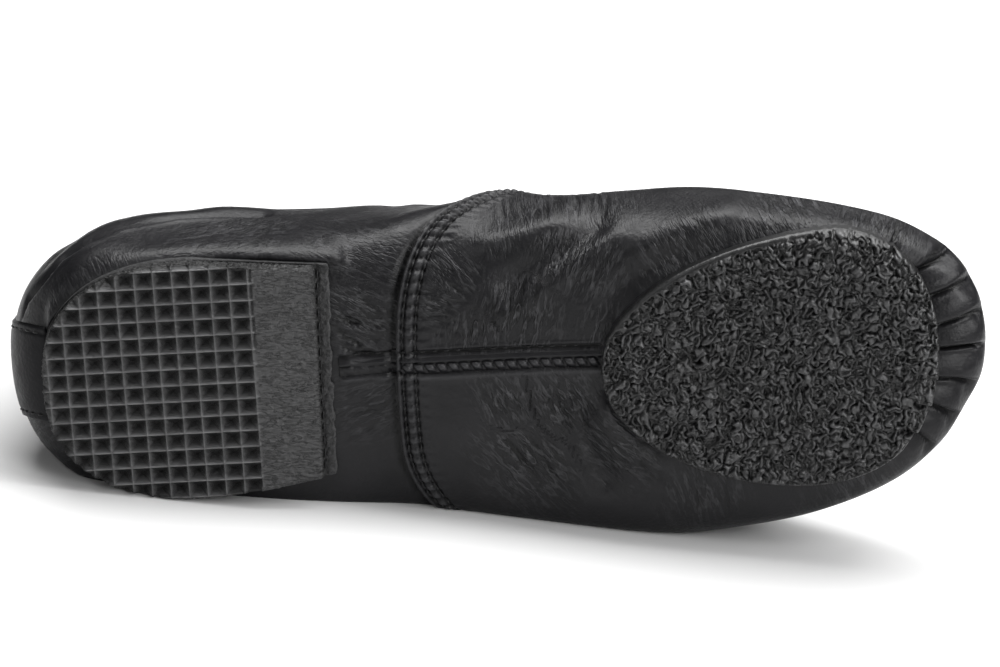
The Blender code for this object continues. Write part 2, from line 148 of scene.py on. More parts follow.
# The photograph's view: tilt of the sight line out of the sole's normal, roll, distance and focal length
VIEW_TILT = math.radians(21.0)
VIEW_ROLL = math.radians(1.7)
VIEW_DISTANCE = 1000.0
VIEW_LOOK = (128.6, -11.4, 0.0)
LENS = 140.4
SIGHT = np.array([0.0, math.sin(VIEW_TILT), math.cos(VIEW_TILT)])
ACROSS = np.array([0.0, -math.cos(VIEW_TILT), math.sin(VIEW_TILT)])

MM = 0.001
SEED = 20


# The form of the last


def smooth_step(t):
    """A soft step from 0 to 1 as t goes from 0 to 1."""
    t = np.clip(t, 0.0, 1.0)
    return t * t * (3.0 - 2.0 * t)


def bell(t):
    """A soft bump, 1 at zero and about a third at one."""
    return np.exp(-(t**2))


def unit(vectors):
    """Vectors scaled to length one."""
    return vectors / np.maximum(np.linalg.norm(vectors, axis=-1, keepdims=True), 1e-9)


def catmull_rom(rows, at):
    """Rows of a table read at fractional row numbers, on a smooth curve through every row."""
    last = len(rows) - 1
    first = np.clip(np.floor(at).astype(int), 0, last - 1)
    t = (at - first)[:, None]
    before = rows[np.maximum(first - 1, 0)]
    after = rows[np.minimum(first + 2, last)]
    p1, p2 = rows[first], rows[first + 1]
    curve = 2 * p1 + (p2 - before) * t
    curve += (2 * before - 5 * p1 + 4 * p2 - after) * t**2
    curve += (3 * p1 - before - 3 * p2 + after) * t**3
    return curve / 2


def section_sizes():
    """The section table in millimetres, led by a mirrored row that rounds the toe tip off."""
    scale = (LENGTH, 1.0, LENGTH, INSTEP_HEIGHT, BALL_WIDTH, BALL_WIDTH, 1.0, 1.0, 1.0)
    sizes = np.array([row[1:] for row in SECTIONS], float) * scale
    tip, front = sizes[0], sizes[1]
    mirrored = front.copy()
    mirrored[1], mirrored[3] = front[3], front[1]
    mirrored[4:6] = -front[4:6]
    mirrored[6:] = tip[6:]
    return np.vstack([mirrored, sizes])


def slump(z):
    """How far the slack shaft has moved to the lateral side at a height."""
    return SLUMP * smooth_step((z - SLUMP_FROM) / (COLLAR_HEIGHT - SLUMP_FROM))


def last_points(at, around):
    """Points of the upper's outer face, a ring for each row number and a point for each angle.

    The row numbers are one for each ring, or one for each point of each ring.
    """
    at = np.asarray(at)
    grid = at if at.ndim == 2 else at[:, None]
    size = catmull_rom(section_sizes(), grid.ravel() + 1.0).T.reshape(-1, *grid.shape)
    bottom_x, bottom_z, top_x, top_z, medial, lateral, belly, low_n, top_n = size
    turn = np.asarray(around)[None, :]
    power = low_n + (top_n - low_n) * (1.0 - np.cos(turn)) / 2.0
    reach = (np.abs(np.cos(turn)) ** power + np.abs(np.sin(turn)) ** power) ** (-1.0 / power)
    across = reach * np.sin(turn)
    rise = -reach * np.cos(turn)
    rise = rise + belly * (1.0 - rise**2)
    x = (bottom_x + top_x) / 2.0 + (top_x - bottom_x) / 2.0 * rise
    z = (bottom_z + top_z) / 2.0 + (top_z - bottom_z) / 2.0 * rise
    y = across * np.where(across > 0.0, lateral, medial) + slump(z)
    return np.stack([x, y, z], axis=-1)


def ring_normals(points):
    """Outward normals of rings of points."""
    along = np.gradient(points, axis=0)
    around = np.roll(points, -1, axis=1) - np.roll(points, 1, axis=1)
    return unit(np.cross(along, around))


def heel_outline(front, margin, steps=40):
    """A round heel back that runs into two straight sides, tapered to a straight front."""
    turns = np.linspace(-math.pi / 2.0, math.pi / 2.0, 2 * steps + 1)
    reach = HEEL_WIDEST - HEEL_BACK + margin
    half = HEEL_HALF_WIDTH + margin
    power = 2.0 / HEEL_BLUNT
    x = HEEL_WIDEST - reach * np.cos(turns) ** power
    y = half * np.sign(np.sin(turns)) * np.abs(np.sin(turns)) ** power
    front_half = half - HEEL_TAPER * (front - HEEL_WIDEST)
    return np.array(list(zip(x, y)) + [(front, front_half), (front, -front_half)])


def forefoot_outline(inset, steps=120):
    """The egg of the forefoot pad, run from its back point round both sides."""
    middle = (FOREFOOT_BACK + FOREFOOT_FRONT) / 2.0
    half = (FOREFOOT_FRONT - FOREFOOT_BACK) / 2.0
    outline = []
    for i, side in enumerate(FOREFOOT_SIDES):
        share = 1.0 - inset / abs(side.half_width)
        turns = np.linspace(math.pi * i, math.pi * (i + 1), steps, endpoint=False)
        along = -np.cos(turns)
        width = (1.0 - np.abs(along) ** side.blunt) ** (1.0 / side.blunt) * (1.0 + side.swell * along)
        x = middle + (half - inset) * along
        outline += list(zip(x, side.half_width * share * width))
    return np.array(outline)


def insole_outline(steps=60):
    """The sock's outline, smooth through its rows on both sides."""
    rows = np.array([tuple(row) for row in INSOLE_ROWS])
    at = (1.0 - np.cos(np.linspace(0.0, math.pi, steps))) / 2.0 * (len(rows) - 1)
    along, medial, lateral = catmull_rom(rows, at).T
    x = INSOLE_BACK + (INSOLE_FRONT - INSOLE_BACK) * along
    return np.array(list(zip(x, lateral)) + list(zip(x[-2:0:-1], -medial[-2:0:-1])))


# The floor passes through the lowest spot of the heel's edge
PITCH = math.atan(FLOOR_SLOPE)
FLOOR_AT = max(side - FLOOR_SLOPE * along for along, side in heel_outline(STRIP_FRONT, HEEL_BASE_MARGIN))
SHOE_AXES = np.array(
    [
        (math.cos(PITCH), 0.0, math.sin(PITCH)),
        (math.sin(PITCH), 0.0, -math.cos(PITCH)),
        (0.0, 1.0, 0.0),
    ]
)
pad_low, pad_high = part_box("forefoot_sole")
SHOE_PLACE = np.array(
    [
        pad_high.x / MM - max(forefoot_outline(0.0) @ SHOE_AXES[:2, 0]),
        pad_low.y / MM,
        FLOOR_AT * math.cos(PITCH),
    ]
)


def to_world(points):
    """The boot's millimetres as metres in the frame."""
    return (np.asarray(points, float) @ SHOE_AXES + SHOE_PLACE) * MM


def rest_on_floor(points):
    """Flattens whatever would reach past the floor, with a short round run into the flat."""
    floor = FLOOR_AT + FLOOR_SLOPE * points[..., 0]
    past = points[..., 1] - floor
    blended = -((past - FLOOR_BLEND) ** 2) / (4.0 * FLOOR_BLEND)
    past = np.where(past > FLOOR_BLEND, 0.0, np.where(past > -FLOOR_BLEND, blended, past))
    resting = points.copy()
    resting[..., 1] = floor + past
    return resting


# Creases, folds and pleats

# A chart is a flat view of the boot: two axes to measure along and the way that the view looks back. Its
# creases show where the surface faces that way, from fade_from on and in full from fade_to on.
X_AXIS, Y_AXIS, Z_AXIS = np.eye(3)
Chart = namedtuple("Chart", "a b facing fade_from fade_to")
CHARTS = {
    "sole": Chart(X_AXIS, ACROSS, -SIGHT, -0.35, 0.05),
    "toe": Chart(X_AXIS, ACROSS, -SIGHT, 0.0, 0.55),
    "tread": Chart(X_AXIS, Y_AXIS, -Z_AXIS, 0.2, 0.6),
    "medial": Chart(X_AXIS, Z_AXIS, -Y_AXIS, 0.0, 0.4),
    "top": Chart(X_AXIS, Y_AXIS, 0.3 * X_AXIS + 0.95 * Z_AXIS, 0.1, 0.5),
    "back": Chart(Y_AXIS, Z_AXIS, -X_AXIS, 0.1, 0.5),
}

# A crease follows a smooth line through its points. height is negative for a trough and positive for a
# ridge. shoulder is the share of it that swells up again on both sides.
Crease = namedtuple("Crease", "chart points width height shoulder")
CREASES = [
    # the narrow folds of the pleats that gather the leather under the toe
    Crease("toe", [(229.0, 29.0), (231.0, 33.0), (232.0, 37.0)], 0.6, -0.7, 0.3),
    Crease("toe", [(228.5, 30.5), (227.0, 34.0), (224.5, 37.5)], 0.5, -0.5, 0.3),
    Crease("toe", [(234.0, 23.0), (239.0, 25.2), (246.5, 28.8)], 0.5, -1.3, 0.2),
    Crease("toe", [(236.0, 25.2), (240.0, 27.4), (244.0, 31.0)], 0.5, -0.7, 0.2),
    Crease("toe", [(238.0, 16.4), (243.0, 18.2), (251.0, 22.2)], 0.5, -1.0, 0.2),
    Crease("toe", [(245.0, 20.2), (251.0, 23.6)], 0.4, -0.5, 0.2),
    Crease("toe", [(240.0, 8.8), (246.0, 10.6), (254.0, 14.0)], 0.5, -1.0, 0.2),
    Crease("toe", [(240.0, 3.0), (247.0, 3.5), (255.0, 4.2)], 0.5, -1.0, 0.2),
    Crease("toe", [(239.0, -4.3), (246.0, -4.7), (253.0, -5.8)], 0.5, -1.0, 0.2),
    Crease("toe", [(236.5, -10.2), (241.0, -11.6), (248.5, -14.8)], 0.5, -1.3, 0.2),
    Crease("toe", [(233.0, -16.2), (236.5, -18.4), (241.5, -22.4)], 0.5, -0.8, 0.2),
    # the diagonal ridge of the inner arch and the hollow above it
    Crease(
        "sole",
        [(126.0, 11.0), (133.0, 17.5), (144.0, 25.5), (155.0, 32.0), (162.0, 38.0)],
        *(3.0, 1.5, 0.0),
    ),
    Crease("sole", [(126.0, 20.0), (136.0, 26.0), (147.0, 32.0), (160.0, 42.0)], 3.8, -2.5, 0.0),
    Crease("sole", [(120.0, 31.5), (131.0, 34.5), (141.0, 37.5), (150.0, 41.5)], 3.4, 1.3, 0.0),
    Crease("sole", [(157.0, 30.5), (168.0, 31.5), (181.0, 36.5), (196.0, 41.0)], 4.0, 1.6, 0.0),
    # small wrinkles beside the heel end of the arch seam
    Crease("sole", [(86.6, 17.0), (89.0, 15.4), (93.0, 14.2)], 0.8, -1.0, 0.6),
    Crease("sole", [(86.6, 13.6), (89.2, 10.8), (94.0, 8.0)], 0.8, -1.2, 0.6),
    Crease("sole", [(86.6, 10.6), (89.6, 7.8), (95.0, 6.0)], 0.8, -1.2, 0.6),
    # hollows beside the forefoot pad
    Crease("sole", [(153.0, 13.0), (158.5, 20.0), (168.0, 27.0), (182.0, 33.0)], 3.6, -1.2, 0.0),
    Crease("sole", [(149.5, -3.0), (148.5, -14.0), (152.5, -24.0), (160.0, -33.0)], 3.6, -2.4, 0.3),
    Crease("sole", [(154.0, -3.0), (156.5, -12.0), (164.5, -22.0), (174.0, -28.0)], 2.6, 1.5, 0.0),
    # the lip of the heel quarter's long fold, and finer folds that run beside it
    Crease(
        "sole",
        [(6.4, 22.3), (12.1, 27.9), (16.5, 32.7), (23.6, 36.7), (32.0, 40.1), (46.0, 42.5), (68.0, 44.0)],
        *(0.7, 0.6, 0.0),
    ),
    Crease(
        "sole",
        [(8.0, 28.0), (14.0, 34.6), (22.0, 40.0), (32.0, 43.6), (46.0, 45.6), (58.0, 46.4)],
        *(0.8, -0.7, 0.4),
    ),
    Crease("sole", [(9.0, 32.4), (13.0, 37.2), (21.0, 42.4), (32.0, 46.0), (44.0, 47.6)], 0.8, -0.5, 0.4),
    # folds of the shaft
    Crease("medial", [(14.0, 49.0), (34.0, 53.0), (60.0, 57.0), (88.0, 58.0)], 3.0, -1.8, 0.3),
    Crease("medial", [(22.0, 66.0), (44.0, 67.0), (72.0, 71.0), (98.0, 72.0)], 3.2, -1.6, 0.3),
    Crease("medial", [(98.0, 52.0), (106.0, 58.0), (114.0, 66.0)], 4.0, -1.4, 0.3),
    # the same folds round the back, above the heel cup
    Crease("back", [(16.0, 40.0), (22.0, 41.0), (32.0, 44.0)], 2.2, -1.2, 0.3),
    Crease("back", [(18.0, 56.0), (26.0, 58.0), (36.0, 62.0)], 2.6, -1.2, 0.3),
    # creases where the vamp bends, over the ball and at the instep
    Crease("top", [(166.0, -26.0), (170.0, -6.0), (168.0, 14.0), (162.0, 32.0)], 3.0, -1.2, 0.3),
    Crease("top", [(176.0, -24.0), (180.0, -4.0), (178.0, 18.0)], 2.6, -1.0, 0.3),
    Crease("top", [(188.0, -18.0), (190.0, 2.0), (186.0, 20.0)], 2.2, -0.7, 0.3),
    Crease("top", [(130.0, -22.0), (136.0, 2.0), (132.0, 26.0)], 4.0, -1.8, 0.3),
]

# A fold is sharp on one side of its line and gentle on the other: its widths below and above the line. It
# fades in and out over FOLD_END at the ends of the line.
Fold = namedtuple("Fold", "chart line height below above")
PLEAT = (-2.2, 4.2, 0.8)
FOLD_END = 3.0
FOLDS = [
    # the pleats under the toe: the leather rolls in below a line, and the next lobe hangs over it
    Fold("toe", [(227.0, 27.0), (230.0, 31.0), (232.5, 37.0)], *PLEAT),
    Fold("toe", [(231.0, 21.5), (239.0, 25.4), (247.0, 29.2)], *PLEAT),
    Fold("toe", [(235.0, 15.6), (243.0, 18.3), (252.0, 22.6)], *PLEAT),
    Fold("toe", [(237.0, 8.0), (246.0, 10.7), (255.0, 14.4)], *PLEAT),
    Fold("toe", [(237.0, 2.8), (247.0, 3.6), (256.0, 4.4)], *PLEAT),
    Fold("toe", [(236.0, -4.1), (246.0, -4.8), (254.0, -6.0)], *PLEAT),
    Fold("toe", [(233.0, -9.0), (241.0, -11.7), (249.5, -15.2)], *PLEAT),
    Fold("toe", [(230.0, -14.6), (236.5, -18.5), (242.5, -23.2)], *PLEAT),
    # the leather drawn tight over the edge of the heel seat, which flares out there
    Fold(
        "sole",
        [(11.0, 14.9), (19.0, 23.6), (30.0, 28.8), (45.0, 31.3), (62.0, 31.7), (90.0, 30.0)],
        *(3.0, 0.9, 4.4),
    ),
    # the long fold of the slack heel quarter
    Fold(
        "sole",
        [(3.5, 16), (6.4, 22.8), (12.1, 28.4), (16.5, 33.2), (23.6, 37.2), (32, 40.6), (46, 43), (70, 44.6)],
        *(-1.4, 0.5, 1.3),
    ),
]

# The share of a crease's line over which it fades at each end, and the same for the arch seam's lines. Its
# shoulders stand at SHOULDER_PLACE widths from the line, and past CREASE_REACH widths it is flat.
CREASE_FADE = 0.22
SEAM_FADE = 0.02
CREASE_REACH = 4.0
CREASE_STEPS = 6
SHOULDER_PLACE = 2.0
SHOULDER_WIDTH = 0.9

# A bundle is a group of fine lines: the first and the last line, how many there are, and their form
Bundle = namedtuple("Bundle", "chart first last lines width height")
BUNDLES = [
    Bundle("sole", [(87.5, 22.0), (101.0, 16.0)], [(86.5, 11.5), (96.0, 5.0)], 8, 0.65, -0.40),
    Bundle("sole", [(114.0, 24.0), (120.0, 20.5)], [(111.0, 12.0), (117.5, 9.5)], 8, 0.55, -0.28),
    Bundle("sole", [(122.0, 19.0), (121.0, 10.0)], [(144.0, 28.0), (138.5, 13.0)], 16, 0.6, -0.30),
    Bundle("sole", [(124.0, -1.5), (128.5, -11.0)], [(133.0, -1.5), (138.0, -13.0)], 7, 0.6, -0.36),
    Bundle("sole", [(138.5, -1.5), (143.5, -12.0)], [(147.0, -3.0), (151.0, -15.0)], 7, 0.6, -0.36),
    Bundle("sole", [(127.0, -14.0), (136.0, -27.0)], [(140.0, -16.0), (150.0, -31.0)], 9, 0.65, -0.34),
    Bundle("sole", [(157.5, -17.0), (161.0, -25.0)], [(167.5, -24.0), (170.0, -31.0)], 8, 0.55, -0.26),
    Bundle("sole", [(176.5, -28.0), (178.5, -37.0)], [(186.0, -29.5), (187.0, -37.0)], 5, 0.55, -0.30),
    Bundle("toe", [(198.0, 36.0), (194.0, 39.5)], [(228.0, 30.5), (230.5, 35.0)], 15, 0.5, -0.34),
    Bundle("sole", [(126.0, 46.0), (128.5, 37.0)], [(158.0, 46.0), (156.0, 38.0)], 18, 0.6, -0.18),
    Bundle("sole", [(164.0, 24.5), (161.0, 31.0)], [(187.0, 33.5), (183.0, 39.0)], 10, 0.55, -0.26),
    Bundle("sole", [(58.0, 36.0), (60.0, 31.0)], [(82.0, 36.0), (83.5, 31.5)], 14, 0.5, -0.20),
    Bundle("sole", [(88.0, -2.0), (99.0, 3.0)], [(88.0, -16.0), (98.0, -13.0)], 6, 0.6, -0.20),
]
BUNDLE_JITTER = 0.9
BUNDLE_SCALE = (0.6, 1.3)
BUNDLE_SHOULDER = 0.35

# Creases narrower than this also paint the leather's colour: shade in their troughs and a highlight on their
# ridges
NARROW = 1.2

# The leather beside the arch seam: grooves under its two rows of stitches, and a lip on the outer side
SEAM_STITCH_ROWS = (-2.6, 2.7)
SEAM_GROOVE = 0.85
SEAM_GROOVE_WIDTH = 0.5
SEAM_GROOVE_SHOULDER = 0.3
SEAM_LIP_ROW = 4.3
SEAM_LIP = 0.6
SEAM_LIP_WIDTH = 1.0

# Soft bulges and hollows: a place, a radius and a height
Swell = namedtuple("Swell", "x y z radius height")
SWELLS = [
    Swell(77.0, -34.0, 47.0, 17.0, -2.4),
    Swell(23.0, -31.0, 33.0, 12.0, 1.3),
    Swell(36.0, -36.0, 40.0, 14.0, 1.3),
    Swell(104.0, -24.0, 9.0, 9.0, 0.8),
    Swell(108.0, -35.0, 24.0, 9.0, 1.0),
    Swell(129.0, -37.0, 22.0, 9.0, -0.8),
    Swell(200.0, -38.0, 18.0, 26.0, -0.9),
    Swell(224.0, -32.0, 16.0, 12.0, -0.7),
    Swell(248.0, -20.0, 12.0, 11.0, 1.3),
    Swell(118.0, 20.0, 7.0, 14.0, 1.0),
    Swell(94.0, 14.0, 7.0, 12.0, -0.8),
]

# Patches of hairline wrinkles on the sole's chart: the middle, the way the lines run, half sizes along and
# across the lines, and how strong they are
Patch = namedtuple("Patch", "x v angle length width strength")
PATCHES = [
    Patch(112.3, 18.4, -20.0, 5.0, 4.0, 0.8),
    Patch(117.0, 27.0, -48.0, 6.0, 5.0, 0.7),
    Patch(123.2, 11.5, 86.0, 4.5, 8.0, 0.9),
    Patch(134.0, 15.5, 78.0, 8.0, 8.0, 1.0),
    Patch(148.5, 29.5, 68.0, 7.0, 11.0, 1.0),
    Patch(142.0, 39.0, 96.0, 8.0, 17.0, 0.6),
    Patch(155.0, 12.0, 74.0, 6.0, 5.0, 0.7),
    Patch(129.5, -7.0, -63.0, 8.0, 5.5, 1.0),
    Patch(144.5, -6.8, -60.0, 8.0, 6.5, 1.1),
    Patch(134.5, -21.5, -45.0, 11.0, 8.0, 0.9),
    Patch(157.0, -18.5, -38.0, 10.0, 7.0, 0.8),
    Patch(181.0, -31.0, -72.0, 7.0, 9.0, 0.6),
    Patch(219.0, -33.0, -60.0, 6.0, 12.0, 0.5),
    Patch(92.7, 16.3, -25.0, 9.0, 6.0, 0.9),
    Patch(90.0, 33.0, -20.0, 14.0, 8.0, 0.5),
    Patch(93.5, -7.0, 18.0, 9.0, 7.0, 0.5),
    Patch(60.0, 37.0, 12.0, 18.0, 6.0, 0.5),
    Patch(26.0, 27.0, 118.0, 5.0, 16.0, 0.35),
    Patch(176.0, 30.0, 120.0, 6.0, 11.0, 0.8),
    Patch(203.0, 39.0, 118.0, 6.0, 13.0, 0.9),
    Patch(226.0, 35.0, 60.0, 7.0, 9.0, 0.9),
    Patch(246.0, 4.0, 5.0, 12.0, 22.0, 0.12),
    Patch(6.0, 4.0, 20.0, 6.0, 20.0, 0.5),
]
PATCH_SPREAD = 1.3
PATCH_STRENGTH = 0.85
PATCH_SHOWN = (-0.3, 0.4)

# Patches lie this many widths apart in the wrinkles' noise. Where two of them are as strong as each other
# to within PATCH_BORDER, or both are weaker than PATCH_WEAK, the lines fade.
PATCH_APART = 50.0
PATCH_BORDER = 0.12
PATCH_WEAK = 0.15


def wrinkle_marks(points, normals):
    """For each point a place along and across its patch's lines, in millimetres, and a strength."""
    x, v = points[..., 0], points @ ACROSS
    shown = smooth_step((normals @ -SIGHT - PATCH_SHOWN[0]) / PATCH_SHOWN[1])
    marks = np.zeros((*x.shape, 3))
    second = np.zeros(x.shape)
    for patch in PATCHES:
        turn = math.radians(patch.angle)
        along = (x - patch.x) * math.cos(turn) + (v - patch.v) * math.sin(turn)
        across = (v - patch.v) * math.cos(turn) - (x - patch.x) * math.sin(turn)
        reach = np.hypot(along / patch.length, across / patch.width) / PATCH_SPREAD
        strength = PATCH_STRENGTH * patch.strength * bell(reach) * shown
        best = marks[..., 2].copy()
        stronger = strength > best
        second = np.where(stronger, best, np.maximum(second, strength))
        shifted = across + PATCH_APART * patch.width
        marks[stronger] = np.stack([along, shifted, strength], axis=-1)[stronger]
    best = marks[..., 2].copy()
    marks[..., 2] *= smooth_step((best - second) / PATCH_BORDER) * smooth_step(best / PATCH_WEAK)
    return marks


def nearest_on_line(path, a, b):
    """Distance of points from a broken line, and their share of the way along it."""
    steps = np.diff(path, axis=0)
    lengths = np.linalg.norm(steps, axis=1)
    before = np.concatenate([[0.0], np.cumsum(lengths)])
    best = np.full(a.shape, np.inf)
    share = np.zeros(a.shape)
    for start, step, length, done in zip(path, steps, lengths, before):
        along = np.clip(((a - start[0]) * step[0] + (b - start[1]) * step[1]) / length**2, 0.0, 1.0)
        gap = np.hypot(a - start[0] - along * step[0], b - start[1] - along * step[1])
        closer = gap < best
        best = np.where(closer, gap, best)
        share = np.where(closer, (done + along * length) / before[-1], share)
    return best, share


def crease_height(crease, a, b):
    """Height of one crease at places on its chart, soft across and tapered at both ends."""
    points = np.array(crease.points, float)
    path = catmull_rom(points, np.linspace(0.0, len(points) - 1.0, CREASE_STEPS * len(points)))
    reach = CREASE_REACH * crease.width
    low, high = path.min(axis=0) - reach, path.max(axis=0) + reach
    near = (a > low[0]) & (a < high[0]) & (b > low[1]) & (b < high[1])
    height = np.zeros(a.shape)
    if near.any():
        gap, share = nearest_on_line(path, a[near], b[near])
        fade = SEAM_FADE if crease.chart == "tread" else CREASE_FADE
        taper = smooth_step(np.minimum(share, 1.0 - share) / fade)
        across = gap / crease.width
        profile = bell(across) - crease.shoulder * bell((across - SHOULDER_PLACE) / SHOULDER_WIDTH)
        height[near] = crease.height * taper * profile
    return height


def fold_height(fold, a, b):
    """Height of one fold at places on its chart."""
    along, side = np.array(fold.line).T
    gap = b - np.interp(a, along, side)
    profile = np.where(gap < 0.0, bell(gap / fold.below), bell(gap / fold.above))
    ends = smooth_step((a - along[0]) / FOLD_END) * smooth_step((along[-1] - a) / FOLD_END)
    return fold.height * profile * ends


def bundle_creases(bundle, draw):
    """The lines of a bundle, spread from its first line to its last one with some play."""
    first, last = np.array(bundle.first), np.array(bundle.last)
    for share in np.linspace(0.0, 1.0, bundle.lines):
        ends = first + (last - first) * share + draw.normal(0.0, BUNDLE_JITTER, (2, 2))
        middle = ends.mean(axis=0) + draw.normal(0.0, BUNDLE_JITTER / 2.0, 2)
        height = bundle.height * draw.uniform(*BUNDLE_SCALE)
        points = [tuple(ends[0]), tuple(middle), tuple(ends[1])]
        yield Crease(bundle.chart, points, bundle.width, height, BUNDLE_SHOULDER)


def seam_line(across):
    """The two ends of a line beside the middle of the arch seam, on the tread's plane."""
    back, front = np.array(CENTRE_SEAM_BACK), np.array(CENTRE_SEAM_FRONT)
    way = unit(front - back)
    side = np.array([-way[1], way[0]])
    return back + across * side, front + across * side


def relief(points, normals):
    """How far the creased leather stands out of the smooth form, and the narrow creases' share of that."""
    draw = np.random.default_rng(SEED)
    creases = list(CREASES)
    for bundle in BUNDLES:
        creases += bundle_creases(bundle, draw)
    creases.append(Crease("tread", seam_line(SEAM_LIP_ROW), SEAM_LIP_WIDTH, SEAM_LIP, 0.0))
    for row in SEAM_STITCH_ROWS:
        groove = (SEAM_GROOVE_WIDTH, -SEAM_GROOVE, SEAM_GROOVE_SHOULDER)
        creases.append(Crease("tread", seam_line(row), *groove))
    total = np.zeros(points.shape[:-1])
    narrow = np.zeros(points.shape[:-1])
    for name, chart in CHARTS.items():
        a, b = points @ chart.a, points @ chart.b
        facing = normals @ chart.facing
        shown = smooth_step((facing - chart.fade_from) / (chart.fade_to - chart.fade_from))
        for crease in creases:
            if crease.chart == name:
                height = crease_height(crease, a, b) * shown
                total += height
                if crease.width < NARROW:
                    narrow += height
        for fold in FOLDS:
            if fold.chart == name:
                total += fold_height(fold, a, b) * shown
    for swell in SWELLS:
        gap = np.linalg.norm(points - np.array(swell[:3]), axis=-1)
        total += swell.height * bell(gap / swell.radius)
    return total, narrow


# Meshes


def make_piece(name, points, faces, looks, face_looks=None, smooth=True, marks=None):
    """A mesh object from points in the boot's millimetres, with marks at them for its materials."""
    mesh = bpy.data.meshes.new(name)
    mesh.from_pydata(to_world(points).tolist(), [], [list(face) for face in faces])
    for look in looks:
        mesh.materials.append(look)
    if face_looks is not None:
        mesh.polygons.foreach_set("material_index", np.asarray(face_looks, np.int32))
    if smooth:
        mesh.shade_smooth()
    for mark, values in (marks or {}).items():
        if np.ndim(values) == 2:
            mesh.attributes.new(mark, "FLOAT_VECTOR", "POINT").data.foreach_set("vector", np.ravel(values))
        else:
            mesh.attributes.new(mark, "FLOAT", "POINT").data.foreach_set("value", values)
    mesh.validate()
    made = bpy.data.objects.new(name, mesh)
    bpy.context.scene.collection.objects.link(made)
    return made


def dress(piece, slot, *nodes):
    """Puts a finished piece on the boot's one body, and hides the solids that it stands for."""
    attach(piece, "root")
    if nodes:
        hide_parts(*nodes)


def ring_faces(rings, count, closed=False):
    """Quads between rings of points, each ring a closed loop, with all faces turned outward."""
    ring = np.arange(rings if closed else rings - 1)[:, None]
    ahead = (ring + 1) % rings
    j = np.arange(count)[None, :]
    k = (j + 1) % count
    front, back = ring * count, ahead * count
    return np.stack([front + j, back + j, back + k, front + k], axis=-1).reshape(-1, 4)


def pole_faces(pole, start, count, outward):
    """Triangles from a point to a ring, for one end of a skin."""
    j = np.arange(count)
    k = (j + 1) % count
    order = (j, k) if outward else (k, j)
    return np.stack([np.full(count, pole), start + order[0], start + order[1]], axis=-1)


# The angles of a ring between which the leather has fine creases
SEEN_FROM = math.radians(-128.0)
SEEN_TO = math.radians(98.0)
ROW_SAMPLES = 1200


def turns_around(fine, coarse):
    """Angles round a ring, close together on the sole and the inner side, wider where nothing fine is."""
    seen = np.linspace(SEEN_FROM, SEEN_TO, fine, endpoint=False)
    rest = np.linspace(SEEN_TO, SEEN_FROM + 2.0 * math.pi, coarse, endpoint=False)
    return np.concatenate([seen, rest])


def rows_between(first, last, rings, *focuses):
    """Row numbers at even steps along the sole's line, closer together near each focus.

    A focus is a row number, a span in millimetres and how much closer the rings are there.
    """
    at = np.linspace(first, last, ROW_SAMPLES)
    line = last_points(at, np.array([0.0, -math.pi / 2.0]))
    step = np.linalg.norm(np.diff(line, axis=0), axis=-1).mean(axis=-1)
    place = np.concatenate([[0.0], np.cumsum(step)])
    weight = np.ones(len(at))
    for row, span, closer in focuses:
        weight += closer * bell((place - np.interp(row, at, place)) / span)
    even = np.concatenate([[0.0], np.cumsum((weight[1:] + weight[:-1]) / 2.0 * np.diff(place))])
    return np.interp(np.linspace(0.0, even[-1], rings), even, at)


# A crest mark is 0.5 on plain leather, and reaches 0 and 1 half of this height below and above it. Below 0.5
# it paints shade into the leather's colour, and above it a paler highlight.
PLAIN_CREST = 0.5
CREST_RANGE = 1.6


class Skin:
    """One panel of leather: its smooth rings, their normals, and the creases on them."""

    def __init__(self, at, around, step):
        self.at = at
        self.plain = last_points(at, around)
        self.normals = ring_normals(self.plain)
        height, self.narrow = relief(self.plain, self.normals)
        self.height = height + step

    def marks(self, total):
        """Wrinkles and crests for the leather's material, at the outer face's points of a larger mesh. The
        crests paint shade into narrow troughs and a highlight onto narrow ridges.
        """
        wrinkle = np.zeros((total, 3))
        wrinkle[: self.height.size] = wrinkle_marks(self.plain, self.normals).reshape(-1, 3)
        crest = np.full(total, PLAIN_CREST)
        crest[: self.height.size] = np.clip(PLAIN_CREST + self.narrow / CREST_RANGE, 0.0, 1.0).ravel()
        return {"wrinkle": wrinkle, "crest": crest}

    def at_offset(self, offset, rows=slice(None)):
        """The rings at a distance from the creased face, resting on the floor."""
        lift = (self.height[rows] + offset)[..., None]
        return rest_on_floor(self.plain[rows] + self.normals[rows] * lift)


def along_rings(points):
    """Distance of each point from the last ring, measured along the panel."""
    steps = np.linalg.norm(np.diff(points, axis=0), axis=-1)
    back = np.cumsum(steps[::-1], axis=0)[::-1]
    return np.concatenate([back, np.zeros((1, points.shape[1]))])


def along_line(points):
    """Distance of each point of a line from its first point, measured along it."""
    steps = np.linalg.norm(np.diff(points, axis=0), axis=-1)
    return np.concatenate([[0.0], np.cumsum(steps)])


# A stitch rises by THREAD_BOW radii between its two ends, which are this share of its girth
THREAD_RINGS = 6
THREAD_SIDES = 6
THREAD_BOW = 1.4
THREAD_END = 0.12


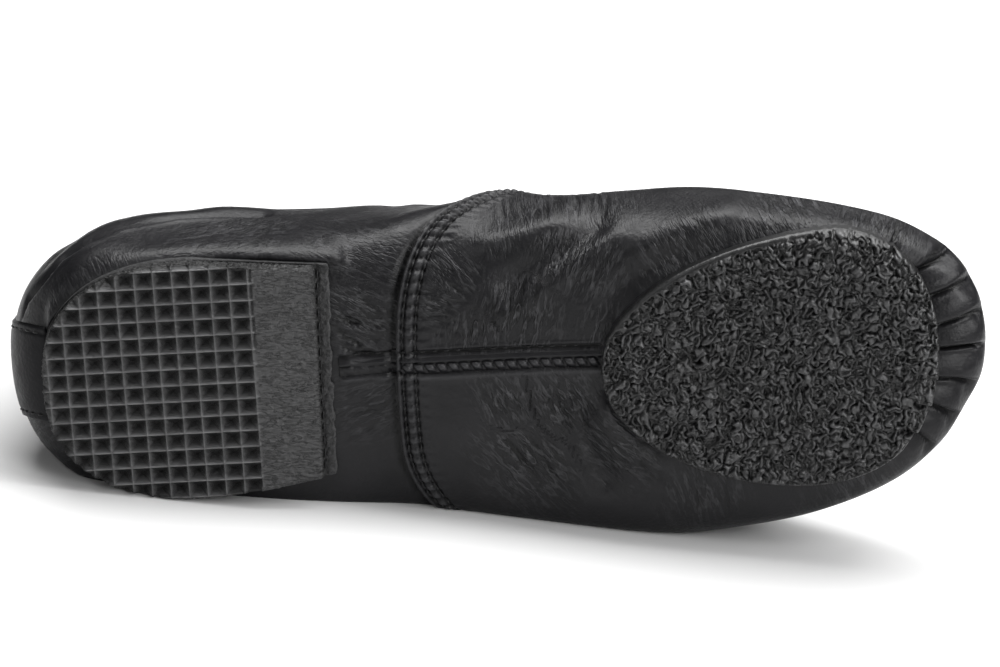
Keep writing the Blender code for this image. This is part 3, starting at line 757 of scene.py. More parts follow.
def thread_row(points, normals, pitch, length, radius, sink):
    """Stitches along a line on a surface: points and faces of joined round-ended threads."""
    place = along_line(points)
    count = int(place[-1] / pitch)
    rings, sides = THREAD_RINGS, THREAD_SIDES
    share = np.linspace(0.0, 1.0, rings)
    starts = (np.arange(count) + 0.5) * place[-1] / count - length / 2.0
    at = starts[:, None] + share[None, :] * length
    middle = np.stack([np.interp(at, place, points[:, i]) for i in range(3)], axis=-1)
    up = unit(np.stack([np.interp(at, place, normals[:, i]) for i in range(3)], axis=-1))
    bow = THREAD_BOW * np.sin(share * math.pi)[None, :, None]
    middle = middle + up * (radius * (bow - 1.0) - sink)
    forward = unit(np.gradient(middle, axis=1))
    side = unit(np.cross(forward, up))
    lift = np.cross(side, forward)
    turn = np.linspace(0.0, 2.0 * math.pi, sides, endpoint=False)
    girth = radius * np.clip(np.sin(share * math.pi), THREAD_END, 1.0) ** 0.5
    ring = np.cos(turn)[:, None] * side[:, :, None, :] + np.sin(turn)[:, None] * lift[:, :, None, :]
    made = middle[:, :, None, :] + ring * girth[None, :, None, None]
    past = made[..., 1] - FLOOR_AT - FLOOR_SLOPE * made[..., 0]
    made[..., 1] -= np.maximum(past.max(axis=(1, 2)), 0.0)[:, None, None]
    faces = []
    for i in range(count):
        start = i * rings * sides
        faces += (ring_faces(rings, sides) + start).tolist()
        faces.append(list(range(start, start + sides))[::-1])
        last = start + (rings - 1) * sides
        faces.append(list(range(last, last + sides)))
    return made.reshape(-1, 3), faces


def sew(name, rows, thread, slot):
    """One piece from rows of stitches."""
    points, faces, start = [], [], 0
    for row_points, row_faces in rows:
        points.append(row_points)
        faces += [[index + start for index in face] for face in row_faces]
        start += len(row_points)
    dress(make_piece(name, np.concatenate(points), faces, [thread]), slot)


STITCH_PITCH = 3.0
STITCH_LENGTH = 2.3
THREAD_RADIUS = 0.34
STITCH = (STITCH_PITCH, STITCH_LENGTH, THREAD_RADIUS)

# Sewing of the vamp, at distances from its cut edge. Each part has a width and a height, of which a share is
# steady and a share goes up and down with the stitches.
Sewn = namedtuple("Sewn", "place width height steady waving")
VAMP_STITCH_ROWS = (1.2, 4.5)
VAMP_SEWING = [
    # the grooves of both rows, the puckered band between them, the curled edge and ripples beside them
    Sewn(VAMP_STITCH_ROWS[0], 0.55, -0.95, 0.7, -0.3),
    Sewn(VAMP_STITCH_ROWS[1], 0.55, -0.95, 0.7, -0.3),
    Sewn(sum(VAMP_STITCH_ROWS) / 2.0, 1.2, 0.75, 0.6, 0.6),
    Sewn(0.0, 0.8, 0.45, 0.9, 0.2),
    Sewn(6.5, 1.5, 0.2, 0.6, 0.7),
]

# The vamp's cut edge, and the gap that opens under it. It sweeps forward by EDGE_SWEEP rows on the outer
# side, between these angles in degrees, which draws the last EDGE_SWEEP_ROWS with it.
CUT_EDGE_RADIUS = 0.5
CUT_EDGE_STEPS = 5
EDGE_GAP_DEPTH = 1.4
EDGE_GAP_WIDTH = 1.1
EDGE_GAP_PLACE = 0.7
EDGE_SWEEP = 0.32
EDGE_SWEEP_ROWS = 1.6
SWEEP_START, SWEEP_RISE = 24.0, 46.0
SWEEP_END, SWEEP_FALL = 180.0, 60.0

# Points round and along the vamp. Its lining lies LINING_DEPTH inside the wall, and in the lap just clear of
# the rear.
VAMP_TURNS = (300, 52)
VAMP_RINGS = 232
VAMP_FIRST_ROW = 0.02
VAMP_FOCUS = (VAMP_ROW, 9.0, 2.2)
VAMP_LINING_RINGS = 34
LINING_DEPTH = 1.2
EDGE_CLEAR = 0.05
LAP_CLEAR = 0.04


def vamp_sewing(from_edge, along_edge):
    """Height of the sewn band along the vamp's edge."""
    wave = np.cos(2.0 * math.pi * along_edge / STITCH_PITCH)[None, :]
    height = np.zeros(from_edge.shape)
    for part in VAMP_SEWING:
        across = bell((from_edge - part.place) / part.width)
        height += part.height * across * (part.steady + part.waving * wave)
    return height


def vamp_edge(around):
    """Row number of the vamp's cut edge at angles round the boot: it sweeps forward on the outer side."""
    turn = np.degrees(around) % 360.0
    start = smooth_step((turn - SWEEP_START) / SWEEP_RISE)
    return VAMP_ROW - EDGE_SWEEP * start * smooth_step((SWEEP_END - turn) / SWEEP_FALL)


def make_vamp(leather, lining):
    """The front of the upper, from the toe to the cut edge that laps over the rear."""
    around = turns_around(*VAMP_TURNS)
    at = rows_between(VAMP_FIRST_ROW, VAMP_ROW, VAMP_RINGS, VAMP_FOCUS)
    drawn = smooth_step((at - VAMP_ROW + EDGE_SWEEP_ROWS) / EDGE_SWEEP_ROWS)[:, None]
    at = at[:, None] + (vamp_edge(around) - VAMP_ROW)[None, :] * drawn
    skin = Skin(at, around, VAMP_STEP)
    from_edge = along_rings(skin.plain)
    sewing = vamp_sewing(from_edge, along_line(skin.plain[-1]))
    skin.height = skin.height + sewing
    # The sewing also goes into the crest mark: painted shade in its grooves and a painted highlight on its
    # puckered band and curled edge
    skin.narrow = skin.narrow + sewing
    outer = skin.at_offset(0.0)
    edge, edge_normal = outer[-1], skin.normals[-1]
    onward = unit(outer[-1] - outer[-3])
    rim = []
    for turn in np.linspace(0.0, math.pi / 2.0, CUT_EDGE_STEPS)[1:]:
        forward = onward * CUT_EDGE_RADIUS * math.sin(turn)
        rim.append(edge + forward - edge_normal * CUT_EDGE_RADIUS * (1.0 - math.cos(turn)))
    rim.append(edge + onward * CUT_EDGE_RADIUS - edge_normal * (VAMP_STEP - EDGE_CLEAR))
    inner_rows = np.linspace(len(at) - 1, 0, VAMP_LINING_RINGS).astype(int)
    under = np.where(at[inner_rows] > LAP_ROW, VAMP_STEP - LAP_CLEAR, WALL + LINING_DEPTH)
    inner = skin.at_offset(-under, inner_rows)
    rings = np.concatenate([outer, np.stack(rim), inner])
    count = rings.shape[1]
    tip = outer[0].mean(axis=0)
    points = np.concatenate([rings.reshape(-1, 3), [tip, inner[-1].mean(axis=0)]])
    faces = ring_faces(len(rings), count).tolist()
    looks = [0] * ((len(outer) + len(rim) - 1) * count) + [1] * (len(inner) * count)
    faces += pole_faces(len(points) - 2, 0, count, True).tolist()
    faces += pole_faces(len(points) - 1, (len(rings) - 1) * count, count, False).tolist()
    looks += [0] * count + [1] * count
    piece = make_piece("upper_vamp", points, faces, [leather, lining], looks, marks=skin.marks(len(points)))
    dress(piece, "black_leather", "upper")
    return skin, outer, from_edge


def make_vamp_stitches(skin, outer, from_edge, thread):
    """Two rows of thread along the vamp's edge, in its grooves."""
    rows = []
    columns = np.arange(outer.shape[1])
    for place in VAMP_STITCH_ROWS:
        ring = np.array([np.interp(-place, -from_edge[:, j], np.arange(len(outer))) for j in columns])
        low = np.floor(ring).astype(int)
        t = (ring - low)[:, None]
        line = outer[low, columns] * (1.0 - t) + outer[np.minimum(low + 1, len(outer) - 1), columns] * t
        line = np.concatenate([line, line[:1]])
        up = np.concatenate([skin.normals[low, columns], skin.normals[low[:1], columns[:1]]])
        rows.append(thread_row(line, up, *STITCH, 0.0))
    sew("vamp_stitches", rows, thread, "black_leather")


# Points round and along the rear. Distance past the vamp's edge is measured along the way from its first
# ring to WAY_RING, and the collar's round rim is flattened to COLLAR_FLAT of its height.
REAR_TURNS = (270, 60)
REAR_RINGS = 236
REAR_FOCUSES = ((HEM_ROW, 4.0, 2.0), (HEEL_ROW, 55.0, 1.6))
REAR_LINING_RINGS = 36
WAY_RING = 24
HEM_BLEND_ROWS = 0.05
HEM_STITCH_ROWS = 0.12
HEM_STITCH_SINK = -0.05
COLLAR_STEPS = 9
COLLAR_FLAT = 0.7


def make_rear(leather, lining):
    """The heel quarters and the slack shaft, from under the vamp to the hemmed collar."""
    around = turns_around(*REAR_TURNS)
    at = rows_between(LAP_ROW, COLLAR_ROW, REAR_RINGS, *REAR_FOCUSES)
    hem = HEM_STEP * smooth_step((at - HEM_ROW) / HEM_BLEND_ROWS)[:, None]
    skin = Skin(at, around, hem)
    edge = last_points(vamp_edge(around)[None, :], around)[0]
    way = unit(skin.plain[WAY_RING] - skin.plain[0])
    past_edge = np.einsum("rtc,tc->rt", skin.plain - edge, way)
    gap = EDGE_GAP_DEPTH * bell((past_edge - EDGE_GAP_PLACE) / EDGE_GAP_WIDTH)
    skin.height = skin.height - gap
    # The gap also goes into the crest mark, as painted shade under the vamp's edge
    skin.narrow = skin.narrow - gap
    outer = skin.at_offset(0.0)
    onward = unit(outer[-1] - outer[-3])
    thick = WALL + HEM_STEP
    rim = []
    for turn in np.linspace(0.0, math.pi, COLLAR_STEPS)[1:-1]:
        middle = outer[-1] - skin.normals[-1] * thick / 2.0
        out = skin.normals[-1] * math.cos(turn) + onward * COLLAR_FLAT * math.sin(turn)
        rim.append(middle + out * thick / 2.0)
    inner_rows = np.linspace(len(at) - 1, 0, REAR_LINING_RINGS).astype(int)
    inner = skin.at_offset(-WALL - hem[inner_rows], inner_rows)
    rings = np.concatenate([outer, np.stack(rim), inner])
    count = rings.shape[1]
    faces = ring_faces(len(rings), count, closed=True).tolist()
    looks = [0] * ((len(outer) + len(rim)) * count) + [1] * (len(inner) * count)
    points = rings.reshape(-1, 3)
    piece = make_piece("upper_rear", points, faces, [leather, lining], looks, marks=skin.marks(len(points)))
    dress(piece, "black_leather", "upper")
    return skin, outer


def make_hem_stitches(skin, outer, thread):
    """One row of thread that holds the turned hem of the collar."""
    row = int(np.searchsorted(skin.at, HEM_ROW + HEM_STITCH_ROWS))
    line = np.concatenate([outer[row], outer[row][:1]])
    up = np.concatenate([skin.normals[row], skin.normals[row][:1]])
    sew("hem_stitches", [thread_row(line, up, *STITCH, HEM_STITCH_SINK)], thread, "black_leather")


# Rays to the leather start this far outside the boot. Where there is none, it counts as this high.
CAST_FROM = 30.0
OPEN_HEIGHT = 9.0


class Surface:
    """The leather's outside, to set other pieces against."""

    def __init__(self, *panels):
        points, faces, start = [], [], 0
        for rings in panels:
            count = rings.shape[1]
            points.append(rings.reshape(-1, 3))
            faces += (ring_faces(len(rings), count) + start).tolist()
            start += rings.shape[0] * count
        self.tree = BVHTree.FromPolygons(np.concatenate(points).tolist(), faces)

    def cast(self, origins, direction, missing):
        """Where rays meet the leather, and its normals there; rays that miss it end at a given depth."""
        way = Vector(direction)
        places, normals = [], []
        for origin in origins:
            place, normal, _, _ = self.tree.ray_cast(Vector(origin), way)
            if place is None:
                place, normal = Vector(origin) + way * missing, -way
            places.append(tuple(place))
            normals.append(tuple(normal))
        return np.array(places), np.array(normals)

    def underside(self, xy):
        """Height of the leather over places on the tread plane."""
        origins = np.column_stack([xy, np.full(len(xy), -CAST_FROM)])
        places, _ = self.cast(origins.tolist(), (0.0, 0.0, 1.0), CAST_FROM + OPEN_HEIGHT)
        return places[:, 2]


# Rubber soles


def inside_outline(points, outline):
    """True for points inside a closed outline."""
    inside = np.zeros(len(points), bool)
    x, y = points.T
    for (x0, y0), (x1, y1) in zip(outline, np.roll(outline, -1, axis=0)):
        if y0 == y1:
            continue
        crosses = (y0 > y) != (y1 > y)
        inside ^= crosses & (x < x0 + (y - y0) * (x1 - x0) / (y1 - y0))
    return inside


def dense_outline(outline, spacing=0.05):
    """A closed outline with points at small even steps."""
    closed = np.vstack([outline, outline[:1]])
    place = along_line(closed)
    at = np.arange(0.0, place[-1], spacing)
    return np.column_stack([np.interp(at, place, closed[:, 0]), np.interp(at, place, closed[:, 1])])


def flat_tree(places):
    """A search tree for the nearest of many places on the tread plane."""
    tree = kdtree.KDTree(len(places))
    for i, (x, y) in enumerate(places):
        tree.insert((x, y, 0.0), i)
    tree.balance()
    return tree


# The rings of a slab's wall, as shares of its height, and of its cap, as shares of the way from its middle
WALL_SHARES = (0.08, 0.25, 0.45, 0.65, 0.85, 1.0)
CAP_SHARES = (0.85, 0.6, 0.3, 0.08)


class Sheet:
    """A flat sheet cut to an outline: a grid of triangles whose rim lies on the outline."""

    def __init__(self, outline, u_lines, w_lines, turn=0.0, pivot=(0.0, 0.0)):
        u, w = np.meshgrid(u_lines, w_lines, indexing="ij")
        x = pivot[0] + u * math.cos(turn) - w * math.sin(turn)
        y = pivot[1] + u * math.sin(turn) + w * math.cos(turn)
        grid = np.column_stack([x.ravel(), y.ravel()])
        inside = inside_outline(grid, outline).reshape(u.shape)
        kept = inside[:-1, :-1] & inside[1:, :-1] & inside[1:, 1:] & inside[:-1, 1:]
        number = np.arange(u.size).reshape(u.shape)
        a, b = number[:-1, :-1][kept], number[1:, :-1][kept]
        c, d = number[1:, 1:][kept], number[:-1, 1:][kept]
        i, j = np.nonzero(kept)
        rising = (i + j) % 2 == 0
        corners = np.stack([a, b, c, a, c, d], 1), np.stack([a, b, d, b, c, d], 1)
        split = np.where(rising[:, None], *corners)
        used, faces = np.unique(split.reshape(-1, 3), return_inverse=True)
        self.faces = faces.reshape(-1, 3)
        self.uw = np.column_stack([u.ravel(), w.ravel()])[used]
        self.xy = grid[used]
        self.rim = self.rim_loop()
        tree = flat_tree(dense_outline(outline))
        for index in self.rim:
            self.xy[index] = tree.find((*self.xy[index], 0.0))[0][:2]
        self.edge_gap = np.array([tree.find((px, py, 0.0))[2] for px, py in self.xy])

    def rim_loop(self):
        """The sheet's border points in order."""
        edges = np.concatenate([self.faces[:, [0, 1]], self.faces[:, [1, 2]], self.faces[:, [2, 0]]])
        keys = edges.min(axis=1) * len(self.xy) + edges.max(axis=1)
        _, where, times = np.unique(keys, return_index=True, return_counts=True)
        onward = dict(edges[where[times == 1]].tolist())
        start = min(onward)
        loop = [start]
        while onward[loop[-1]] != start:
            loop.append(onward[loop[-1]])
        return np.array(loop)

    def near_edge(self, width):
        """1 on the outline, falling to 0 at this distance from it."""
        return 1.0 - smooth_step(self.edge_gap / width)

    def marked(self, points, values, rest=0.0):
        """Values at the sheet's points, and one value for the other points of its solid."""
        return np.concatenate([values, np.full(len(points) - len(self.xy), rest)])

    def solid(self, low, high, rough=0.0, draw=None):
        """Points and faces of a slab between the sheet's heights and a cap, its wall as rough as given."""
        rim, rim_low = self.xy[self.rim], low[self.rim]
        rim_high = high(rim)
        middle = rim.mean(axis=0)
        rings = []
        for share in WALL_SHARES:
            ring = rim + draw.normal(0.0, rough, rim.shape) if rough else rim
            rings.append(np.column_stack([ring, rim_low + (rim_high - rim_low) * share]))
        for share in CAP_SHARES:
            ring = middle + (rim - middle) * share
            rings.append(np.column_stack([ring, high(ring)]))
        faces = self.faces[:, ::-1].tolist()
        count = len(rim)
        inner = self.rim
        for i in range(len(rings)):
            outer = len(self.xy) + i * count + np.arange(count)
            faces += np.stack([inner, np.roll(inner, -1), np.roll(outer, -1), outer], axis=1).tolist()
            inner = outer
        tip = np.full(count, len(self.xy) + len(rings) * count)
        faces += np.stack([inner, np.roll(inner, -1), tip], axis=1).tolist()
        top = np.column_stack([middle[None, :], high(middle[None, :])])
        return np.concatenate([np.column_stack([self.xy, low]), *rings, top]), faces


def band_noise(shape, spacing, wave, spread, draw):
    """Random relief with one dominant wavelength, scaled to unit spread."""
    noise = np.fft.fft2(draw.normal(size=shape))
    fx = np.fft.fftfreq(shape[0], spacing)[:, None]
    fy = np.fft.fftfreq(shape[1], spacing)[None, :]
    tone = np.hypot(fx, fy) * wave
    made = np.real(np.fft.ifft2(noise * bell((tone - 1.0) / spread)))
    return made / made.std()


def sample(field, spacing, low, xy):
    """A field of heights read at places, straight between its points."""
    at = (xy - low) / spacing
    i = np.clip(at.astype(int), 0, np.array(field.shape) - 2)
    t = at - i
    a, b = field[i[:, 0], i[:, 1]], field[i[:, 0] + 1, i[:, 1]]
    c, d = field[i[:, 0], i[:, 1] + 1], field[i[:, 0] + 1, i[:, 1] + 1]
    return (a * (1 - t[:, 0]) + b * t[:, 0]) * (1 - t[:, 1]) + (c * (1 - t[:, 0]) + d * t[:, 0]) * t[:, 1]


# Crepe rubber: chunks with stripes of a wave and a step in height of their own, and grooves between them.
# The noise that bends the chunks and the fine noise each have a wave, a spread of waves and a depth.
CREPE_SPACING = 0.25
CREPE_FIELD_SPACING = 0.2
CREPE_FIELD_MARGIN = 4.0
CREPE_FIELD_SPARE = 8
CREPE_CHUNK = 3.2
CREPE_CHUNK_SHIFT = 1.5
CREPE_BEND = (3.2, 0.5, 0.42)
CREPE_FINE = (1.3, 0.4, 0.10)
CREPE_WAVE = (1.2, 2.1)
CREPE_STRIPE = 0.55
CREPE_STRIPE_POWER = 0.8
CREPE_STEP = 0.28
CREPE_STEP_WIDTH = 0.8
CREPE_GROOVE = 0.7
CREPE_GROOVE_WIDTH = 0.45
CREPE_CREST_RANGE = 1.2

# The pad's plain border is wider by CREPE_BEAD on the inner side, short of the toe. Its tread turns softly
# from the flat to the raised toe, and up at the edge.
CREPE_BORDER = 0.7
CREPE_BEAD = 1.0
BEAD_INNER, BEAD_INNER_FADE = 6.0, 8.0
BEAD_TOE, BEAD_TOE_FADE = 214.0, 10.0
TURN_HEIGHT, TURN_WIDTH = 0.12, 0.5
PAD_EDGE_HEIGHT, PAD_EDGE_WIDTH = 0.5, 0.6
PAD_SINK = 0.2


def crepe_relief(xy):
    """The wormy skin of crepe rubber: chunks with short ridges that run a different way in each."""
    draw = np.random.default_rng(SEED + 1)
    low, high = xy.min(axis=0) - CREPE_FIELD_MARGIN, xy.max(axis=0) + CREPE_FIELD_MARGIN
    shape = tuple(((high - low) / CREPE_FIELD_SPACING).astype(int) + CREPE_FIELD_SPARE)

    def noise_at(wave, spread, depth):
        field = band_noise(shape, CREPE_FIELD_SPACING, wave, spread, draw)
        return depth * sample(field, CREPE_FIELD_SPACING, low, xy)

    bent = xy + np.stack([noise_at(*CREPE_BEND), noise_at(*CREPE_BEND)], axis=-1)
    columns = np.arange(low[0], high[0], CREPE_CHUNK)
    rows = np.arange(low[1], high[1], CREPE_CHUNK)
    seeds = np.array([(x, y) for x in columns for y in rows])
    seeds = seeds + draw.uniform(-CREPE_CHUNK_SHIFT, CREPE_CHUNK_SHIFT, seeds.shape)
    turn = draw.uniform(0.0, math.pi, len(seeds))
    wave = draw.uniform(*CREPE_WAVE, len(seeds))
    phase = draw.uniform(0.0, 2.0 * math.pi, len(seeds))
    step = draw.normal(0.0, 1.0, len(seeds))
    tree = flat_tree(seeds)
    near = np.array([[(found[1], found[2]) for found in tree.find_n((x, y, 0.0), 2)] for x, y in bent])
    own = near[:, 0, 0].astype(int)
    border = near[:, 1, 1] - near[:, 0, 1]
    gap = bent - seeds[own]
    across = gap[:, 0] * np.cos(turn[own]) + gap[:, 1] * np.sin(turn[own])
    ridge = np.abs(np.cos(math.pi * across / wave[own] + phase[own])) ** CREPE_STRIPE_POWER
    stripe = 2.0 * ridge - 1.0
    height = CREPE_STEP * step[own] * smooth_step(border / CREPE_STEP_WIDTH) + CREPE_STRIPE * stripe
    return height + noise_at(*CREPE_FINE) - CREPE_GROOVE * bell(border / CREPE_GROOVE_WIDTH)


def make_forefoot_sole(leather_side, rubber):
    """The crepe pad under the ball and toes: flat, and up with the leather at the toe."""
    outline = forefoot_outline(0.0)
    low, high = outline.min(axis=0), outline.max(axis=0)
    u = np.arange(low[0], high[0], CREPE_SPACING)
    w = np.arange(low[1], high[1], CREPE_SPACING)
    sheet = Sheet(outline, u, w)
    x, y = sheet.xy.T
    skin = leather_side.underside(sheet.xy) - FOREFOOT_SKIN
    tread = np.maximum(skin, 0.0) + TURN_HEIGHT * bell(skin / TURN_WIDTH)
    beaded = smooth_step((-y - BEAD_INNER) / BEAD_INNER_FADE) * smooth_step((BEAD_TOE - x) / BEAD_TOE_FADE)
    border = smooth_step((sheet.edge_gap - CREPE_BEAD * beaded) / CREPE_BORDER)
    wormy = border * crepe_relief(sheet.xy)
    tread = tread - wormy
    tread = tread + PAD_EDGE_HEIGHT * sheet.near_edge(PAD_EDGE_WIDTH)

    def seat(xy):
        return leather_side.underside(xy) + PAD_SINK

    points, faces = sheet.solid(tread, seat)
    # The crest mark paints the crepe's hollows darker as shade and its crests paler as a highlight
    crest = np.clip(PLAIN_CREST + wormy / CREPE_CREST_RANGE, 0.0, 1.0)
    marks = {"crest": sheet.marked(points, crest, PLAIN_CREST)}
    piece = make_piece("forefoot_crepe", points, faces, [rubber], marks=marks)
    dress(piece, "crepe_rubber", "forefoot_sole")


# Pits of the waffle tread: the ridges between them are narrow and a little rounded
WAFFLE_RIDGE = 0.24
WAFFLE_DEPTH = 2.3
WAFFLE_ROUND = 0.1
WAFFLE_EDGE = 0.14
PITS_ALONG, PITS_ACROSS = 13, 9

# Painted highlights on the pits' outer facets, which face up as the boot lies (a base, a rise and a power),
# and on their rear facets, which face the toe (a strength, a rise and a power); deep in the pits the dark pit
# colour stays as painted shade. The ridges are pale from wear and painted highlight. All of them fade to a
# smaller share at the rim, set by the two rim values below.
OUTER_FACET_HIGHLIGHT = (0.15, 0.85, 2.5)
REAR_FACET_HIGHLIGHT = (0.42, 1.2, 1.2)
RIDGE_PALE_DEPTH = 0.18
CROSS_RIDGE_PALE_SHARE = 0.3
RIM_MARK_SHARE, RIM_MARK_WIDTH = 0.25, 1.4

# The sanded ramp, whose roughness has a wave and a spread of waves, and a ragged band of painted shade along
# its front edge
RAMP_REACH, RAMP_SPACING = 22.0, 0.6
RAMP_FIELD, RAMP_FIELD_SPACING = (420, 420), 0.2
RAMP_WAVE = (1.6, 0.5)
RAMP_ROUGH = 0.05
RAMP_BLEND = 0.3
FRONT_SHADE_FROM, FRONT_SHADE_REACH, FRONT_SHADE_BLEND = 0.45, 0.25, 0.2
SANDED_BLEND, SANDED_DEPTH = 0.15, 0.2

# The lift's cut wall and edge, how far its top lies below the sheet, and the least height of its wall
LIFT_WALL_ROUGH = 0.12
LIFT_EDGE_HEIGHT, LIFT_EDGE_WIDTH = 0.25, 0.35
LIFT_LOW = 0.5
LIFT_RIM_HEIGHT = 0.3


def waffle_lines(pitch, count, steps=6):
    """Grid lines of the tread: the ridge's two edges and even steps down to the middle of each pit."""
    half = (pitch - WAFFLE_RIDGE) / 2.0
    down = np.concatenate([[-half], np.linspace(-half + WAFFLE_EDGE, 0.0, steps)])
    cell = np.concatenate([down, -down[-2::-1], [pitch / 2.0]])
    return np.concatenate([cell + i * pitch for i in range(-count, count + 1)])


def from_middle(place, pitch):
    """Distance from the middle of a pit, one way along the tread's grid."""
    return np.abs((place + pitch / 2.0) % pitch - pitch / 2.0)


def across_pit(place, pitch):
    """Place in a pit, from -1 to 1, one way along the tread's grid."""
    return (place + pitch / 2.0) % pitch / (pitch / 2.0) - 1.0


def waffle_depth(uw):
    """Depth of the inverted pyramids at places on the tread's own grid, with ridges a little rounded."""
    a = from_middle(uw[:, 0], TREAD_PITCH_X)
    b = from_middle(uw[:, 1], TREAD_PITCH_Y)
    half_x = (TREAD_PITCH_X - WAFFLE_RIDGE) / 2.0
    half_y = (TREAD_PITCH_Y - WAFFLE_RIDGE) / 2.0
    pit = 1.0 - np.maximum(a / half_x, b / half_y)
    ridge_x = np.clip((a - half_x) / (WAFFLE_RIDGE / 2.0), 0.0, 1.0)
    ridge_y = np.clip((b - half_y) / (WAFFLE_RIDGE / 2.0), 0.0, 1.0)
    crown = WAFFLE_ROUND * (1.0 - np.maximum(ridge_x, ridge_y))
    return np.where(pit > 0.0, WAFFLE_DEPTH * pit + WAFFLE_ROUND, crown)


def waffle_facet_highlight(uw, depth):
    """How much painted highlight the tread's facets get: most on the pits' outer facets, which face up as the
    boot lies, and their rear facets, which face the toe, close to their ridges. Deep in the pits there is
    none, so the dark colour there is painted shade.
    """
    along = across_pit(uw[:, 0], TREAD_PITCH_X)
    across = across_pit(uw[:, 1], TREAD_PITCH_Y)
    height = np.clip(1.0 - depth / WAFFLE_DEPTH, 0.0, 1.0)
    base, rise, power = OUTER_FACET_HIGHLIGHT
    outer = np.clip(base + rise * across, 0.0, 1.0) * height ** power
    strength, rise, power = REAR_FACET_HIGHLIGHT
    on_rear = np.abs(along) > np.abs(across)
    rear = strength * np.clip(-rise * along, 0.0, 1.0) * on_rear * height ** power
    return np.maximum(outer, rear)


def make_heel_lift(leather_side, rubber):
    """The waffle heel: pits cut by the outline, and the sanded ramp at its front."""
    draw = np.random.default_rng(SEED + 2)
    outline = heel_outline(RAMP_FRONT, 0.0)
    first_pit = RAMP_START - TREAD_RIDGE - (TREAD_PITCH_X - TREAD_RIDGE) / 2.0
    pivot = (first_pit, TREAD_PITCH_Y / 2.0)
    back = waffle_lines(TREAD_PITCH_X, PITS_ALONG)
    front = np.arange(TREAD_PITCH_X / 2.0, RAMP_REACH, RAMP_SPACING)
    u = np.concatenate([back[back < TREAD_PITCH_X / 2.0], front])
    sheet = Sheet(outline, u, waffle_lines(TREAD_PITCH_Y, PITS_ACROSS), TREAD_TURN, pivot)
    x = sheet.xy[:, 0]
    slope = RAMP_FRONT_HEIGHT / (RAMP_FRONT - RAMP_START)
    ramp = slope * (x - RAMP_START)
    tread = waffle_depth(sheet.uw) * (x < RAMP_START)
    field = band_noise(RAMP_FIELD, RAMP_FIELD_SPACING, *RAMP_WAVE, draw)
    rough = RAMP_ROUGH * sample(field, RAMP_FIELD_SPACING, sheet.xy.min(axis=0), sheet.xy)
    tread = np.maximum(tread, ramp + rough * smooth_step(ramp / RAMP_BLEND))
    tread = tread + LIFT_EDGE_HEIGHT * sheet.near_edge(LIFT_EDGE_WIDTH)

    def seat(xy):
        return leather_side.underside(xy) - HEEL_BASE_THICKNESS - LIFT_LOW

    tread[sheet.rim] = np.minimum(tread[sheet.rim], seat(sheet.xy[sheet.rim]) - LIFT_RIM_HEIGHT)
    points, faces = sheet.solid(tread, seat, LIFT_WALL_ROUGH, draw)
    depth = tread - np.maximum(ramp, 0.0) - WAFFLE_ROUND
    # A ragged band of painted shade along the ramp's front edge: the ramp's pale colour and the facet
    # highlights give way to the dark pit colour there
    front_shade_start = RAMP_FRONT - FRONT_SHADE_FROM - FRONT_SHADE_REACH * np.abs(rough) / RAMP_ROUGH
    front_shade = smooth_step((x - front_shade_start) / FRONT_SHADE_BLEND)
    inland = RIM_MARK_SHARE + (1.0 - RIM_MARK_SHARE) * smooth_step(sheet.edge_gap / RIM_MARK_WIDTH)
    lengthwise = from_middle(sheet.uw[:, 1], TREAD_PITCH_Y) > TREAD_PITCH_Y / 2.0 - WAFFLE_RIDGE
    # Ridges pale from wear and as a painted highlight, in full on the lengthwise ridges and less on the cross
    # ones
    ridge = smooth_step(1.0 - depth / RIDGE_PALE_DEPTH) * (x < RAMP_START)
    ridge = ridge * np.where(lengthwise, 1.0, CROSS_RIDGE_PALE_SHARE) * inland
    sanded = smooth_step(ramp / SANDED_BLEND) * (depth < SANDED_DEPTH) * (1.0 - front_shade)
    # Painted highlight on the pits' facets that face up and to the toe, and none deep in the pits, whose dark
    # colour is painted shade
    wear_and_facet_light = waffle_facet_highlight(sheet.uw, depth) * (1.0 - front_shade) * inland
    # Of these marks the facet mark is painted light, the ridge mark partly wear and partly painted highlight,
    # and the sanded mark the ramp's own colour
    wear = {"wear_and_facet_light": wear_and_facet_light, "ridge": ridge, "sanded": sanded}
    marks = {name: sheet.marked(points, values) for name, values in wear.items()}
    piece = make_piece("heel_waffle", points, faces, [rubber], smooth=False, marks=marks)
    dress(piece, "waffle_rubber", "heel_lift")


# The heel's thin sheet ends in a ragged edge, STRIP_SHORT behind its outline. Its front strip, from
# STRIP_BEHIND, has a finer grid and is rough and dented along the lift.
STRIP_RAGGED = 0.4
STRIP_SHORT = 1.4
RAGGED_SPACING = 0.4
RAGGED_WINDOW = 5
RAGGED_SPARE = 4
RAGGED_NEAR = 0.05
STRIP_BEHIND, STRIP_PAST = 3.0, 0.4
STRIP_SPACING, SHEET_SPACING_X, SHEET_SPACING_Y = 0.35, 1.5, 0.45
STRIP_FIELD, STRIP_FIELD_SPACING = (220, 360), 0.25
STRIP_FIELD_BEHIND = 6.0
STRIP_WAVE = (1.5, 0.5)
STRIP_ROUGH, STRIP_ROUGH_BEHIND = 0.10, 2.0
STRIP_DENT, STRIP_DENT_PLACE, STRIP_DENT_WIDTH = 0.35, 0.5, 0.5
STRIP_LOW = 0.3
SHEET_SINK = 0.15
FRAY_WIDTH, FRAY_BLEND = 0.5, 1.0


def ragged_outline(outline, front, draw):
    """The heel base's outline with a torn front edge."""
    dense = dense_outline(outline, RAGGED_SPACING)
    on_front = dense[:, 0] > front - RAGGED_NEAR
    noise = draw.normal(0.0, 1.0, int(on_front.sum()) + 2 * RAGGED_SPARE)
    wave = np.convolve(noise, np.ones(RAGGED_WINDOW) / RAGGED_WINDOW, "same")[RAGGED_SPARE:-RAGGED_SPARE]
    dense[on_front, 0] += STRIP_RAGGED * wave - STRIP_SHORT
    return dense


